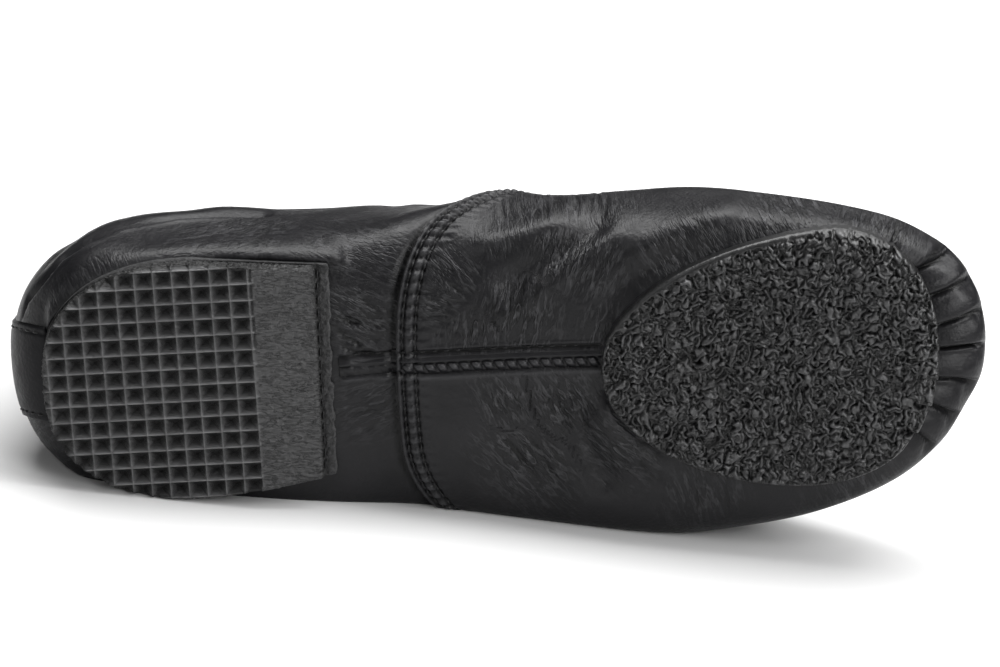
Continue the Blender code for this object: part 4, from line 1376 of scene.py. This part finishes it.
def make_heel_base(leather_side, rubber):
    """The thin sheet under the heel, whose front strip shows past the lift."""
    draw = np.random.default_rng(SEED + 3)
    outline = ragged_outline(heel_outline(STRIP_FRONT, HEEL_BASE_MARGIN), STRIP_FRONT, draw)
    low, high = outline.min(axis=0), outline.max(axis=0)
    strip = np.arange(RAMP_FRONT - STRIP_BEHIND, high[0] + STRIP_PAST, STRIP_SPACING)
    u = np.concatenate([np.arange(low[0], RAMP_FRONT - STRIP_BEHIND, SHEET_SPACING_X), strip])
    sheet = Sheet(outline, u, np.arange(low[1], high[1], SHEET_SPACING_Y))
    x = sheet.xy[:, 0]
    field = band_noise(STRIP_FIELD, STRIP_FIELD_SPACING, *STRIP_WAVE, draw)
    field_low = np.array([RAMP_FRONT - STRIP_FIELD_BEHIND, low[1]])
    rough = STRIP_ROUGH * sample(field, STRIP_FIELD_SPACING, field_low, np.maximum(sheet.xy, field_low))
    under = leather_side.underside(sheet.xy) - HEEL_BASE_THICKNESS - STRIP_LOW
    under = under + rough * (x > RAMP_FRONT - STRIP_ROUGH_BEHIND)
    under = under + STRIP_DENT * bell((x - RAMP_FRONT - STRIP_DENT_PLACE) / STRIP_DENT_WIDTH)

    def seat(xy):
        return leather_side.underside(xy) + SHEET_SINK

    points, faces = sheet.solid(under, seat)
    frayed = sheet.marked(points, sheet.near_edge(FRAY_WIDTH), 1.0)
    frayed = frayed * smooth_step((points[:, 0] - RAMP_FRONT) / FRAY_BLEND)
    piece = make_piece("heel_sheet", points, faces, [rubber], marks={"frayed": frayed})
    dress(piece, "heel_sheet", "heel_base")


# The sock is laid on the sole from rays that start inside the boot
SOCK_SPACING = 1.2
SOCK_FROM = 13.0
SOCK_REACH = 6.0
SOCK_CLEAR = 0.1


def make_insole(inside, cloth):
    """The sock that lies along the inside of the sole."""
    outline = insole_outline()
    u, w = [np.arange(low, high, SOCK_SPACING) for low, high in zip(outline.min(axis=0), outline.max(axis=0))]
    sheet = Sheet(outline, u, w)

    def floor_inside(xy):
        origins = np.column_stack([xy, np.full(len(xy), SOCK_FROM)])
        places, _ = inside.cast(origins.tolist(), (0.0, 0.0, -1.0), SOCK_REACH)
        return places[:, 2]

    def top(xy):
        return floor_inside(xy) + INSOLE_THICKNESS

    points, faces = sheet.solid(floor_inside(sheet.xy) + SOCK_CLEAR, top)
    dress(make_piece("sock", points, faces, [cloth]), "sock_cloth", "insole")


# Sewn strips


def strip_solid(top, bottom):
    """Points and faces of a strip between two grids of the same shape, top outward."""
    rows, columns = top.shape[:2]
    points = np.concatenate([top.reshape(-1, 3), bottom.reshape(-1, 3)])
    number = np.arange(rows * columns).reshape(rows, columns)
    quads = np.stack([number[:-1, :-1], number[1:, :-1], number[1:, 1:], number[:-1, 1:]], -1).reshape(-1, 4)
    loop = np.concatenate([number[0, :-1], number[:-1, -1], number[-1, :0:-1], number[:0:-1, 0]])
    ahead = np.roll(loop, -1)
    under = rows * columns
    sides = np.stack([loop, ahead, ahead + under, loop + under], axis=-1)
    return points, np.concatenate([quads, quads[:, ::-1] + under, sides]).tolist()


def downward(line):
    """The way the sole faces, at each point of a line."""
    return np.tile((0.0, 0.0, -1.0), (len(line), 1))


# The arch seam, at distances across it. Its band rises from a low edge to a ledge.
BAND_LOW, BAND_RISE = -0.3, 1.2
BAND_EDGE, BAND_WIDTH = 2.9, 2.7
LEDGE_PLACE, LEDGE_WIDTH = 0.12, 0.3

# The half below the ledge is puckered into slanting lumps, higher where it is like a rope
ROPE_FROM, ROPE_TO, ROPE_FADE = 98.0, 152.0, 8.0
ROPE_LOSS = 0.45
LUMP_SLANT, LUMP_POWER = 0.6, 6
PUCKER_LEAST, PUCKER_LUMP, PUCKER_ROPE = 0.3, 0.3, 0.9
PUCKER_PLACE, PUCKER_WIDTH = 1.35, 1.3
PUCKER_START, PUCKER_BLEND = 0.15, 0.5

# The seam's grid, the points over which its ground is smoothed, its sink, crests and stitches. The crests
# paint its low parts darker as shade and its raised parts paler as a highlight.
SEAM_SPACING = 0.3
SEAM_COLUMNS = 33
SEAM_SMOOTHING = 9
SEAM_SINK = 0.6
SEAM_CREST, SEAM_CREST_RISE = 0.25, 0.5
SEAM_STITCH = (STITCH_PITCH, STITCH_LENGTH, THREAD_RADIUS * 0.85)
SEAM_STITCH_SINK = 0.05


def centre_seam_height(along, across):
    """Height of the seam: an upper band that rises to a ledge, and the puckered half below it."""
    band = BAND_LOW + BAND_RISE * smooth_step((across + BAND_EDGE) / BAND_WIDTH)
    band = band * smooth_step((LEDGE_PLACE - across) / LEDGE_WIDTH)
    rope = smooth_step((along - ROPE_FROM) / ROPE_FADE)
    rope = rope * (1.0 - ROPE_LOSS * smooth_step((along - ROPE_TO) / ROPE_FADE))
    lump = 1.0 - np.cos(math.pi * (along - LUMP_SLANT * across) / STITCH_PITCH) ** LUMP_POWER
    puckered = PUCKER_LEAST + (PUCKER_LUMP + PUCKER_ROPE * rope) * lump
    puckered = puckered * bell((across - PUCKER_PLACE) / PUCKER_WIDTH)
    return band + puckered * smooth_step((across - PUCKER_START) / PUCKER_BLEND)


def make_centre_seam(leather_side, leather, thread):
    """The raised seam along the arch, with a row of stitches on both sides."""
    back, front = seam_line(0.0)
    way = unit(front - back)
    side = np.array([-way[1], way[0]])
    along = np.arange(0.0, np.linalg.norm(front - back), SEAM_SPACING)
    across = np.linspace(-CENTRE_SEAM_WIDTH / 2.0, CENTRE_SEAM_WIDTH / 2.0, SEAM_COLUMNS)
    a, c = np.meshgrid(along, across, indexing="ij")
    xy = back + a[..., None] * way + c[..., None] * side
    ground = leather_side.underside(xy.reshape(-1, 2)).reshape(a.shape)
    height = centre_seam_height(xy[..., 0], c)
    share = c / CENTRE_SEAM_WIDTH + 0.5
    edges = ground[:, :1] * (1.0 - share) + ground[:, -1:] * share
    kernel = np.ones(SEAM_SMOOTHING) / SEAM_SMOOTHING
    padded = np.pad(edges, ((SEAM_SMOOTHING // 2, SEAM_SMOOTHING // 2), (0, 0)), "edge")
    smooth = np.stack([np.convolve(column, kernel, "valid") for column in padded.T], axis=1)
    top = np.concatenate([xy, (smooth - height)[..., None]], axis=-1)
    low = np.maximum(ground, smooth - height) + SEAM_SINK
    bottom = np.concatenate([xy, low[..., None]], axis=-1)
    points, faces = strip_solid(top[:, ::-1], bottom[:, ::-1])
    # Painted shade on the seam's low parts and a painted highlight on its raised ones
    crest = np.clip(SEAM_CREST + SEAM_CREST_RISE * height[:, ::-1].ravel(), 0.0, 1.0)
    piece = make_piece("arch_seam", points, faces, [leather], marks={"crest": np.tile(crest, 2)})
    dress(piece, "black_leather", "centre_seam")
    rows = []
    for row in SEAM_STITCH_ROWS:
        start, end = seam_line(row)
        line = start + np.linspace(0.0, 1.0, len(along))[:, None] * (end - start)
        line = np.column_stack([line, leather_side.underside(line)])
        rows.append(thread_row(line, downward(line), *SEAM_STITCH, SEAM_STITCH_SINK))
    sew("arch_stitches", rows, thread, "black_leather")


# The stay's grid is finer below STAY_SPLIT. A groove for the stitches runs beside its rounded edge. Its crest
# mark paints the groove and the edge darker as shade.
STAY_SPLIT = 40.0
STAY_ROWS = (70, 60)
STAY_COLUMNS = 61
STAY_REACH = 40.0
STAY_EDGE_WIDTH, STAY_EDGE_START = 0.5, 0.25
STAY_GROOVE, STAY_GROOVE_PLACE, STAY_GROOVE_WIDTH = 0.3, 1.9, 0.45
STAY_SINK = 0.3
STAY_CREST_DROP = 0.35


def make_back_stay(leather_side, leather, thread):
    """The strip up the back of the heel, set on the leather from behind."""
    lower = np.linspace(STAY_BOTTOM, STAY_SPLIT, STAY_ROWS[0])
    upper = np.linspace(STAY_SPLIT, STAY_TOP, STAY_ROWS[1])
    half = STAY_WIDTH / 2.0
    across = np.linspace(-half, half, STAY_COLUMNS)
    zz, cc = np.meshgrid(np.concatenate([lower, upper[1:]]), across, indexing="ij")
    lean = STAY_LEAN * (smooth_step((zz - STAY_BOTTOM) / STAY_LEAN_HEIGHT) - 0.5)
    y = STAY_CENTRE + slump(zz) + cc + lean
    origins = np.stack([np.full(zz.shape, -CAST_FROM), y, zz], axis=-1).reshape(-1, 3)
    places, normals = leather_side.cast(origins.tolist(), (1.0, 0.0, 0.0), STAY_REACH)
    places = places.reshape(*zz.shape, 3)
    normals = unit(normals.reshape(*zz.shape, 3))
    edge = np.minimum(half - np.abs(cc), STAY_TOP - zz)
    rise = STAY_THICKNESS * smooth_step(edge / STAY_EDGE_WIDTH + STAY_EDGE_START)
    rise = rise - STAY_GROOVE * bell((edge - STAY_GROOVE_PLACE) / STAY_GROOVE_WIDTH)
    top = places + normals * rise[..., None]
    points, faces = strip_solid(top, places - normals * STAY_SINK)
    # Painted shade in the stay's groove and at its rounded edge, and a faint painted highlight on its raised
    # face
    crest = np.clip(rise.ravel() / STAY_THICKNESS - STAY_CREST_DROP, 0.0, 1.0)
    piece = make_piece("heel_stay", points, faces, [leather], marks={"crest": np.tile(crest, 2)})
    dress(piece, "black_leather", "back_stay")
    rows = []
    for place in (-half + STAY_GROOVE_PLACE, half - STAY_GROOVE_PLACE):
        column = int(np.argmin(np.abs(across - place)))
        rows.append(thread_row(top[2:-2, column], normals[2:-2, column], *STITCH, 0.0))
    sew("stay_stitches", rows, thread, "black_leather")


# Stitches of the heel's sheet, in the groove before its strip
STRIP_STITCH = (3.4, 2.5, 0.3)
STRIP_STITCH_SINK = -0.1
STRIP_STITCH_PLACE = 0.55
STRIP_STITCH_LOW = 0.35
STRIP_STITCH_SHORT = 1.0
STRIP_STITCH_POINTS = 160


def make_strip_stitches(leather_side, thread):
    """The row of stitches that holds the heel's sheet, in the groove before the strip."""
    half = HEEL_HALF_WIDTH - HEEL_TAPER * (RAMP_FRONT - HEEL_WIDEST)
    y = np.linspace(-half + STRIP_STITCH_SHORT, half - STRIP_STITCH_SHORT, STRIP_STITCH_POINTS)
    xy = np.column_stack([np.full(len(y), RAMP_FRONT + STRIP_STITCH_PLACE), y])
    height = leather_side.underside(xy) - HEEL_BASE_THICKNESS - STRIP_STITCH_LOW
    line = np.column_stack([xy, height])
    row = thread_row(line, downward(line), *STRIP_STITCH, STRIP_STITCH_SINK)
    sew("strip_stitches", [row], thread, "heel_sheet")


# Materials


# Places of the colours among the inputs and outputs of a mix node
MIX_FIRST = 6
MIX_SECOND = 7
MIX_RESULT = 2


class Look:
    """A material whose nodes are added one at a time."""

    def __init__(self, name):
        self.material = bpy.data.materials.new(name)
        self.material.use_nodes = True
        self.tree = self.material.node_tree
        self.shader = self.tree.nodes["Principled BSDF"]
        self.place = self.tree.nodes.new("ShaderNodeTexCoord").outputs["Object"]

    def node(self, kind, settings=(), **inputs):
        """A new node with its settings and inputs."""
        made = self.tree.nodes.new(kind)
        for name, value in dict(settings).items():
            setattr(made, name, value)
        for name, value in inputs.items():
            self.put(made.inputs[name.replace("_", " ")], value)
        return made

    def put(self, socket, value):
        """Links a socket to an input, or sets a constant value on it."""
        if isinstance(value, bpy.types.NodeSocket):
            self.tree.links.new(value, socket)
        else:
            socket.default_value = value

    def stretched(self, scale, place=None):
        """The place on the surface, scaled differently along its axes."""
        return self.node("ShaderNodeMapping", Vector=place or self.place, Scale=scale).outputs["Vector"]

    def mark(self, name):
        """A value or a vector that the mesh carries at its points."""
        return self.node("ShaderNodeAttribute", {"attribute_name": name})

    def sum(self, operation, first, second):
        """Two values worked out together."""
        made = self.node("ShaderNodeMath", {"operation": operation})
        self.put(made.inputs[0], first)
        self.put(made.inputs[1], second)
        return made.outputs[0]

    def lines(self, value, width, level=0.5):
        """Thin lines, 1 on the line and 0 away from it, where a value crosses a level."""
        gap = self.sum("ABSOLUTE", self.sum("SUBTRACT", value, level), 0.0)
        return self.spread(gap, 1.0, 0.0, 0.0, width)

    def noise(self, scale, detail=2.0, roughness=0.5, distortion=0.0, place=None):
        """Soft noise at the surface's place, or another one."""
        kind = "ShaderNodeTexNoise"
        made = self.node(kind, Scale=scale, Detail=detail, Roughness=roughness, Distortion=distortion)
        self.put(made.inputs["Vector"], place or self.place)
        return made.outputs["Fac"]

    def cells(self, scale, feature="F1"):
        """Cells at the surface's place."""
        made = self.node("ShaderNodeTexVoronoi", {"feature": feature}, Scale=scale, Vector=self.place)
        return made.outputs["Distance"]

    def spread(self, value, low=0.0, high=1.0, from_low=0.3, from_high=0.7):
        """A value mapped to a range."""
        made = self.node("ShaderNodeMapRange", Value=value)
        ends = {"From Min": from_low, "From Max": from_high, "To Min": low, "To Max": high}
        for name, number in ends.items():
            made.inputs[name].default_value = number
        return made.outputs["Result"]

    def mixed(self, share, first, second):
        """Two colours mixed. Each is a socket of the tree, or red, green and blue."""
        made = self.node("ShaderNodeMix", {"data_type": "RGBA"})
        self.put(made.inputs["Factor"], share)
        for place, colour in ((MIX_FIRST, first), (MIX_SECOND, second)):
            self.put(made.inputs[place], (*colour, 1.0) if isinstance(colour, tuple) else colour)
        return made.outputs[MIX_RESULT]

    def bumps(self, *layers):
        """Layers of relief on the surface: a height, its depth in millimetres and a strength for each."""
        normal = None
        for height, depth, strength in layers:
            bump = self.node("ShaderNodeBump", Height=height, Distance=depth * MM, Strength=strength)
            if normal is not None:
                self.put(bump.inputs["Normal"], normal)
            normal = bump.outputs["Normal"]
        self.put(self.shader.inputs["Normal"], normal)

    def finish(self, **inputs):
        """Sets inputs of the shader, and gives the material."""
        for name, value in inputs.items():
            self.put(self.shader.inputs[name.replace("_", " ")], value)
        return self.material


LEATHER_COLOURS = ((0.0052, 0.0052, 0.0060), (0.0095, 0.0092, 0.0104))
# Colours of painted shade in narrow troughs and grooves, of crests and wrinkle lips rubbed pale and given a
# painted highlight, and of painted shade in the wrinkles' furrows
GROOVE_SHADE_COLOURS = ((0.0008, 0.0008, 0.0009), (0.0014, 0.0014, 0.0016))
RUBBED_HIGHLIGHT_COLOUR = (0.052, 0.052, 0.055)
FURROW_SHADE_COLOUR = (0.0008, 0.0008, 0.0009)
LEATHER_ROUGHNESS = (0.34, 0.47)
LEATHER_GLOSS = 0.2
STAY_GLOSS = 0.08


def leather_look(name, gloss):
    """Soft black leather: satin, with fine grain, hairline wrinkles and a little wear, and painted shade in
    its troughs and furrows and painted highlights on its crests and wrinkle lips.
    """
    look = Look(name)
    wear = look.noise(70.0, detail=3.0, roughness=0.6)
    grain = look.cells(1150.0, "SMOOTH_F1")
    pores = look.noise(2600.0)
    folds = look.noise(300.0, detail=3.0, roughness=0.55, distortion=0.4)
    wrinkle = look.mark("wrinkle").outputs["Vector"]
    strength = look.node("ShaderNodeSeparateXYZ", Vector=wrinkle).outputs["Z"]
    flat = look.stretched((1.0, 1.0, 0.0), wrinkle)
    long_noise = look.noise(1.0, distortion=0.2, place=look.stretched((0.15, 0.52, 1.0), flat))
    fine_noise = look.noise(1.0, distortion=0.3, place=look.stretched((0.28, 0.9, 1.0), flat))
    fine_furrows = look.sum("MULTIPLY", look.lines(fine_noise, 0.085), 0.6)
    furrows = look.sum("ADD", look.lines(long_noise, 0.07), fine_furrows)
    fine_lips = look.sum("MULTIPLY", look.lines(fine_noise, 0.08, 0.62), 0.8)
    lips = look.sum("ADD", look.lines(long_noise, 0.065, 0.6), fine_lips)
    furrow = look.sum("MULTIPLY", look.sum("MULTIPLY", furrows, strength), -1.0)
    lip = look.sum("MULTIPLY", lips, strength)
    wrinkles = ((furrow, 0.14, 1.0), (lip, 0.10, 1.0))
    look.bumps((folds, 0.4, 0.3), *wrinkles, (grain, 0.13, 0.6), (pores, 0.05, 0.5))
    crest = look.mark("crest").outputs["Fac"]
    wear_and_facet_light = look.mixed(look.spread(wear), *LEATHER_COLOURS)
    # Painted shade: near black where the crest mark is low, in narrow troughs and grooves
    groove = look.mixed(look.spread(wear), *GROOVE_SHADE_COLOURS)
    colour = look.mixed(look.spread(crest, from_low=0.1, from_high=0.5), groove, wear_and_facet_light)
    # Painted highlight on crests and wrinkle lips, which are also rubbed pale
    crest_highlight = look.spread(crest, 0.0, 0.45, from_low=0.6, from_high=1.0)
    rubbed_highlight = look.sum("MAXIMUM", crest_highlight, look.sum("MULTIPLY", lip, 0.8))
    colour = look.mixed(rubbed_highlight, colour, RUBBED_HIGHLIGHT_COLOUR)
    # Painted shade in the wrinkles' furrows
    colour = look.mixed(look.sum("MULTIPLY", furrow, -0.5), colour, FURROW_SHADE_COLOUR)
    rough = look.spread(look.noise(340.0, detail=3.0), *LEATHER_ROUGHNESS)
    look.finish(Coat_Weight=0.03, Coat_Roughness=0.3)
    return look.finish(Base_Color=colour, Roughness=rough, Specular_IOR_Level=gloss)


THREAD_COLOURS = ((0.004, 0.004, 0.0045), (0.008, 0.008, 0.0085))


def thread_look():
    """Black thread with a slight twist."""
    look = Look("black_thread")
    twist = look.noise(2200.0, detail=1.0)
    look.bumps((twist, 0.08, 0.7))
    colour = look.mixed(look.spread(twist), *THREAD_COLOURS)
    return look.finish(Base_Color=colour, Roughness=0.55, Specular_IOR_Level=0.35)


LINING_COLOURS = ((0.016, 0.015, 0.015), (0.030, 0.029, 0.028))


def lining_look():
    """The dull lining inside the boot."""
    look = Look("inner_lining")
    weave = look.noise(1800.0)
    look.bumps((weave, 0.1, 0.6))
    colour = look.mixed(look.spread(weave), *LINING_COLOURS)
    return look.finish(Base_Color=colour, Roughness=0.85)


# Colours of painted shade in the crepe's hollows and of painted highlight on its crests
CREPE_HOLLOW_SHADE_COLOURS = ((0.0006, 0.0006, 0.0007), (0.0016, 0.0016, 0.0018))
CREPE_CREST_HIGHLIGHT_COLOURS = ((0.020, 0.020, 0.0204), (0.054, 0.054, 0.0555))


def crepe_look():
    """Crepe rubber: painted shade in its hollows and a painted highlight on its crests."""
    look = Look("crepe_rubber_look")
    fine = look.noise(1500.0, detail=3.0, roughness=0.6, distortion=0.8)
    film = look.noise(420.0)
    look.bumps((film, 0.25, 0.5), (fine, 0.12, 0.6))
    crest = look.spread(look.mark("crest").outputs["Fac"], from_low=0.36, from_high=0.92)
    dark = look.mixed(look.spread(film), *CREPE_HOLLOW_SHADE_COLOURS)
    light = look.mixed(look.spread(film), *CREPE_CREST_HIGHLIGHT_COLOURS)
    colour = look.mixed(crest, dark, light)
    rough = look.spread(fine, 0.28, 0.42)
    return look.finish(Base_Color=colour, Roughness=rough, Specular_IOR_Level=0.4)


# Colours of painted shade in the pits, of painted highlight on their facets, and of ridges pale from wear and
# painted highlight
PIT_SHADE_COLOURS = ((0.0025, 0.0025, 0.0026), (0.007, 0.007, 0.0072))
SANDED_COLOURS = ((0.014, 0.014, 0.0143), (0.056, 0.056, 0.057))
CRACK_COLOUR = (0.008, 0.008, 0.0082)
FACET_HIGHLIGHT_COLOUR = (0.12, 0.12, 0.122)
RIDGE_WEAR_HIGHLIGHT_COLOUR = (0.14, 0.14, 0.142)


def waffle_look():
    """Waffle rubber: pits darkened with painted shade, painted highlights on the facets that face up and to
    the toe, ridges pale from wear and painted highlight, and a scratched and cracked ramp.
    """
    look = Look("waffle_rubber_look")
    dust = look.noise(240.0, detail=3.0, roughness=0.6)
    scratched = look.stretched((130.0, 2400.0, 2400.0))
    scratch = look.noise(1.0, detail=3.0, roughness=0.6, place=scratched)
    grit = look.noise(2800.0)
    cracked = look.stretched((110.0, 760.0, 760.0))
    cracks = look.lines(look.noise(1.0, detail=3.0, roughness=0.6, distortion=0.6, place=cracked), 0.045)
    look.bumps((scratch, 0.2, 0.7), (cracks, -0.3, 0.8), (grit, 0.1, 0.6))
    # Painted shade in the pits where the facet mark is low, painted highlight on the facets where it is high,
    # and ridges pale from wear and painted highlight
    dark = look.mixed(look.spread(dust), *PIT_SHADE_COLOURS)
    light = look.mixed(look.spread(scratch), *SANDED_COLOURS)
    light = look.mixed(look.sum("MULTIPLY", cracks, 0.75), light, CRACK_COLOUR)
    facet = look.mixed(look.mark("wear_and_facet_light").outputs["Fac"], dark, FACET_HIGHLIGHT_COLOUR)
    edged = look.mixed(look.mark("ridge").outputs["Fac"], facet, RIDGE_WEAR_HIGHLIGHT_COLOUR)
    colour = look.mixed(look.mark("sanded").outputs["Fac"], edged, light)
    rough = look.spread(scratch, 0.42, 0.6)
    return look.finish(Base_Color=colour, Roughness=rough, Specular_IOR_Level=0.35)


FIBRE_COLOURS = ((0.004, 0.004, 0.0042), (0.041, 0.041, 0.042))
FRAY_COLOUR = (0.048, 0.048, 0.049)


def sheet_look():
    """The heel's dull fibrous sheet, paler where it frays."""
    look = Look("heel_sheet_look")
    fibres = look.stretched((900.0, 2200.0, 600.0))
    fibre = look.noise(1.0, detail=3.0, roughness=0.6, distortion=0.5, place=fibres)
    grit = look.noise(2400.0)
    look.bumps((fibre, 0.4, 0.9), (grit, 0.12, 0.6))
    colour = look.mixed(look.spread(fibre), *FIBRE_COLOURS)
    fray = look.sum("MULTIPLY", look.mark("frayed").outputs["Fac"], look.spread(grit, 0.2, 1.0))
    colour = look.mixed(fray, colour, FRAY_COLOUR)
    rough = look.spread(grit, 0.6, 0.75)
    return look.finish(Base_Color=colour, Roughness=rough, Specular_IOR_Level=0.3)


SOCK_COLOURS = ((0.036, 0.035, 0.034), (0.020, 0.019, 0.019))


def sock_look():
    """Plain woven cloth."""
    look = Look("sock_cloth_look")
    weave = look.cells(1400.0)
    look.bumps((weave, 0.15, 0.7))
    colour = look.mixed(look.spread(weave, from_low=0.1, from_high=0.6), *SOCK_COLOURS)
    return look.finish(Base_Color=colour, Roughness=0.9)


FLOOR_COLOURS = ((0.60, 0.60, 0.60), (0.62, 0.62, 0.62))


def floor_look():
    """A pale, dull floor, very slightly uneven in tone."""
    look = Look("pale_floor")
    shade = look.noise(3.0)
    colour = look.mixed(look.spread(shade), *FLOOR_COLOURS)
    return look.finish(Base_Color=colour, Roughness=0.9)


# The boot

# The inside for the sock is made from every fourth row of the leather
INSIDE_ROWS = 4


def make_boot():
    """Every piece of the boot, each set against the leather where it touches it."""
    leather = leather_look("black_leather_look", LEATHER_GLOSS)
    lining = lining_look()
    thread = thread_look()
    vamp_skin, vamp, from_edge = make_vamp(leather, lining)
    make_vamp_stitches(vamp_skin, vamp, from_edge, thread)
    rear_skin, rear = make_rear(leather, lining)
    make_hem_stitches(rear_skin, rear, thread)
    leather_side = Surface(vamp, rear)
    make_forefoot_sole(leather_side, crepe_look())
    make_heel_lift(leather_side, waffle_look())
    make_heel_base(leather_side, sheet_look())
    make_strip_stitches(leather_side, thread)
    make_centre_seam(leather_side, leather, thread)
    make_back_stay(leather_side, leather_look("stay_leather_look", STAY_GLOSS), thread)
    some_rows = slice(None, None, INSIDE_ROWS)
    inside = Surface(vamp_skin.at_offset(-WALL, some_rows), rear_skin.at_offset(-WALL, some_rows))
    make_insole(inside, sock_look())


# Stage

FLOOR_HALF = 3.0
SENSOR_WIDTH = 36.0
CLIP_START = 0.05

# Lights by place and target in metres, size and power, and the strength of the white surroundings
Light = namedtuple("Light", "name place target size power")
LIGHTS = [
    Light("overhead", (0.04, 0.17, 1.10), (0.0, 0.0, 0.0), (1.4, 0.6), 26.0),
    Light("back", (0.35, 0.85, 1.0), (0.05, 0.0, 0.05), (0.9, 0.7), 5.0),
    Light("toe_side", (1.0, -0.30, 0.90), (0.1, 0.0, 0.03), (0.7, 0.7), 12.0),
    Light("heel_side", (-0.75, -0.80, 0.75), (0.0, 0.0, 0.03), (0.7, 0.7), 3.0),
    Light("toe_front", (0.68, -1.0, 0.62), (0.1, -0.04, 0.06), (0.5, 0.5), 7.0),
]
SURROUNDINGS = 0.045


def make_floor():
    """The pale floor that the boot lies on."""
    half = FLOOR_HALF
    mesh = bpy.data.meshes.new("floor")
    corners = [(-half, -half, 0.0), (half, -half, 0.0), (half, half, 0.0), (-half, half, 0.0)]
    mesh.from_pydata(corners, [], [(0, 1, 2, 3)])
    mesh.materials.append(floor_look())
    floor = bpy.data.objects.new("floor", mesh)
    bpy.context.scene.collection.objects.link(floor)


def make_camera():
    """The camera of the photograph, rolled about its line of sight."""
    screen_x = X_AXIS * math.cos(VIEW_ROLL) - ACROSS * math.sin(VIEW_ROLL)
    screen_y = X_AXIS * math.sin(VIEW_ROLL) + ACROSS * math.cos(VIEW_ROLL)
    axes = np.stack([screen_x, screen_y, -SIGHT]) @ SHOE_AXES
    place = to_world(np.array(VIEW_LOOK) - VIEW_DISTANCE * SIGHT)
    data = bpy.data.cameras.new("camera")
    data.sensor_width = SENSOR_WIDTH
    data.lens = LENS
    data.clip_start = CLIP_START
    camera = bpy.data.objects.new("camera", data)
    matrix = Matrix(axes.T.tolist()).to_4x4()
    matrix.translation = Vector(place)
    camera.matrix_world = matrix
    bpy.context.scene.collection.objects.link(camera)
    bpy.context.scene.camera = camera


def make_lights():
    """Rectangular lights aimed at the boot, and even white surroundings."""
    scene = bpy.context.scene
    for light in LIGHTS:
        data = bpy.data.lights.new(light.name, "AREA")
        data.shape = "RECTANGLE"
        data.size, data.size_y = light.size
        data.energy = light.power
        lamp = bpy.data.objects.new(light.name, data)
        lamp.location = light.place
        aim = Vector(light.target) - Vector(light.place)
        lamp.rotation_euler = aim.to_track_quat("-Z", "Y").to_euler()
        scene.collection.objects.link(lamp)
    world = bpy.data.worlds.new("studio")
    world.use_nodes = True
    background = world.node_tree.nodes["Background"]
    background.inputs["Color"].default_value = (1.0, 1.0, 1.0, 1.0)
    background.inputs["Strength"].default_value = SURROUNDINGS
    scene.world = world
    scene.view_settings.view_transform = "Standard"


make_boot()
make_floor()
make_camera()
make_lights()
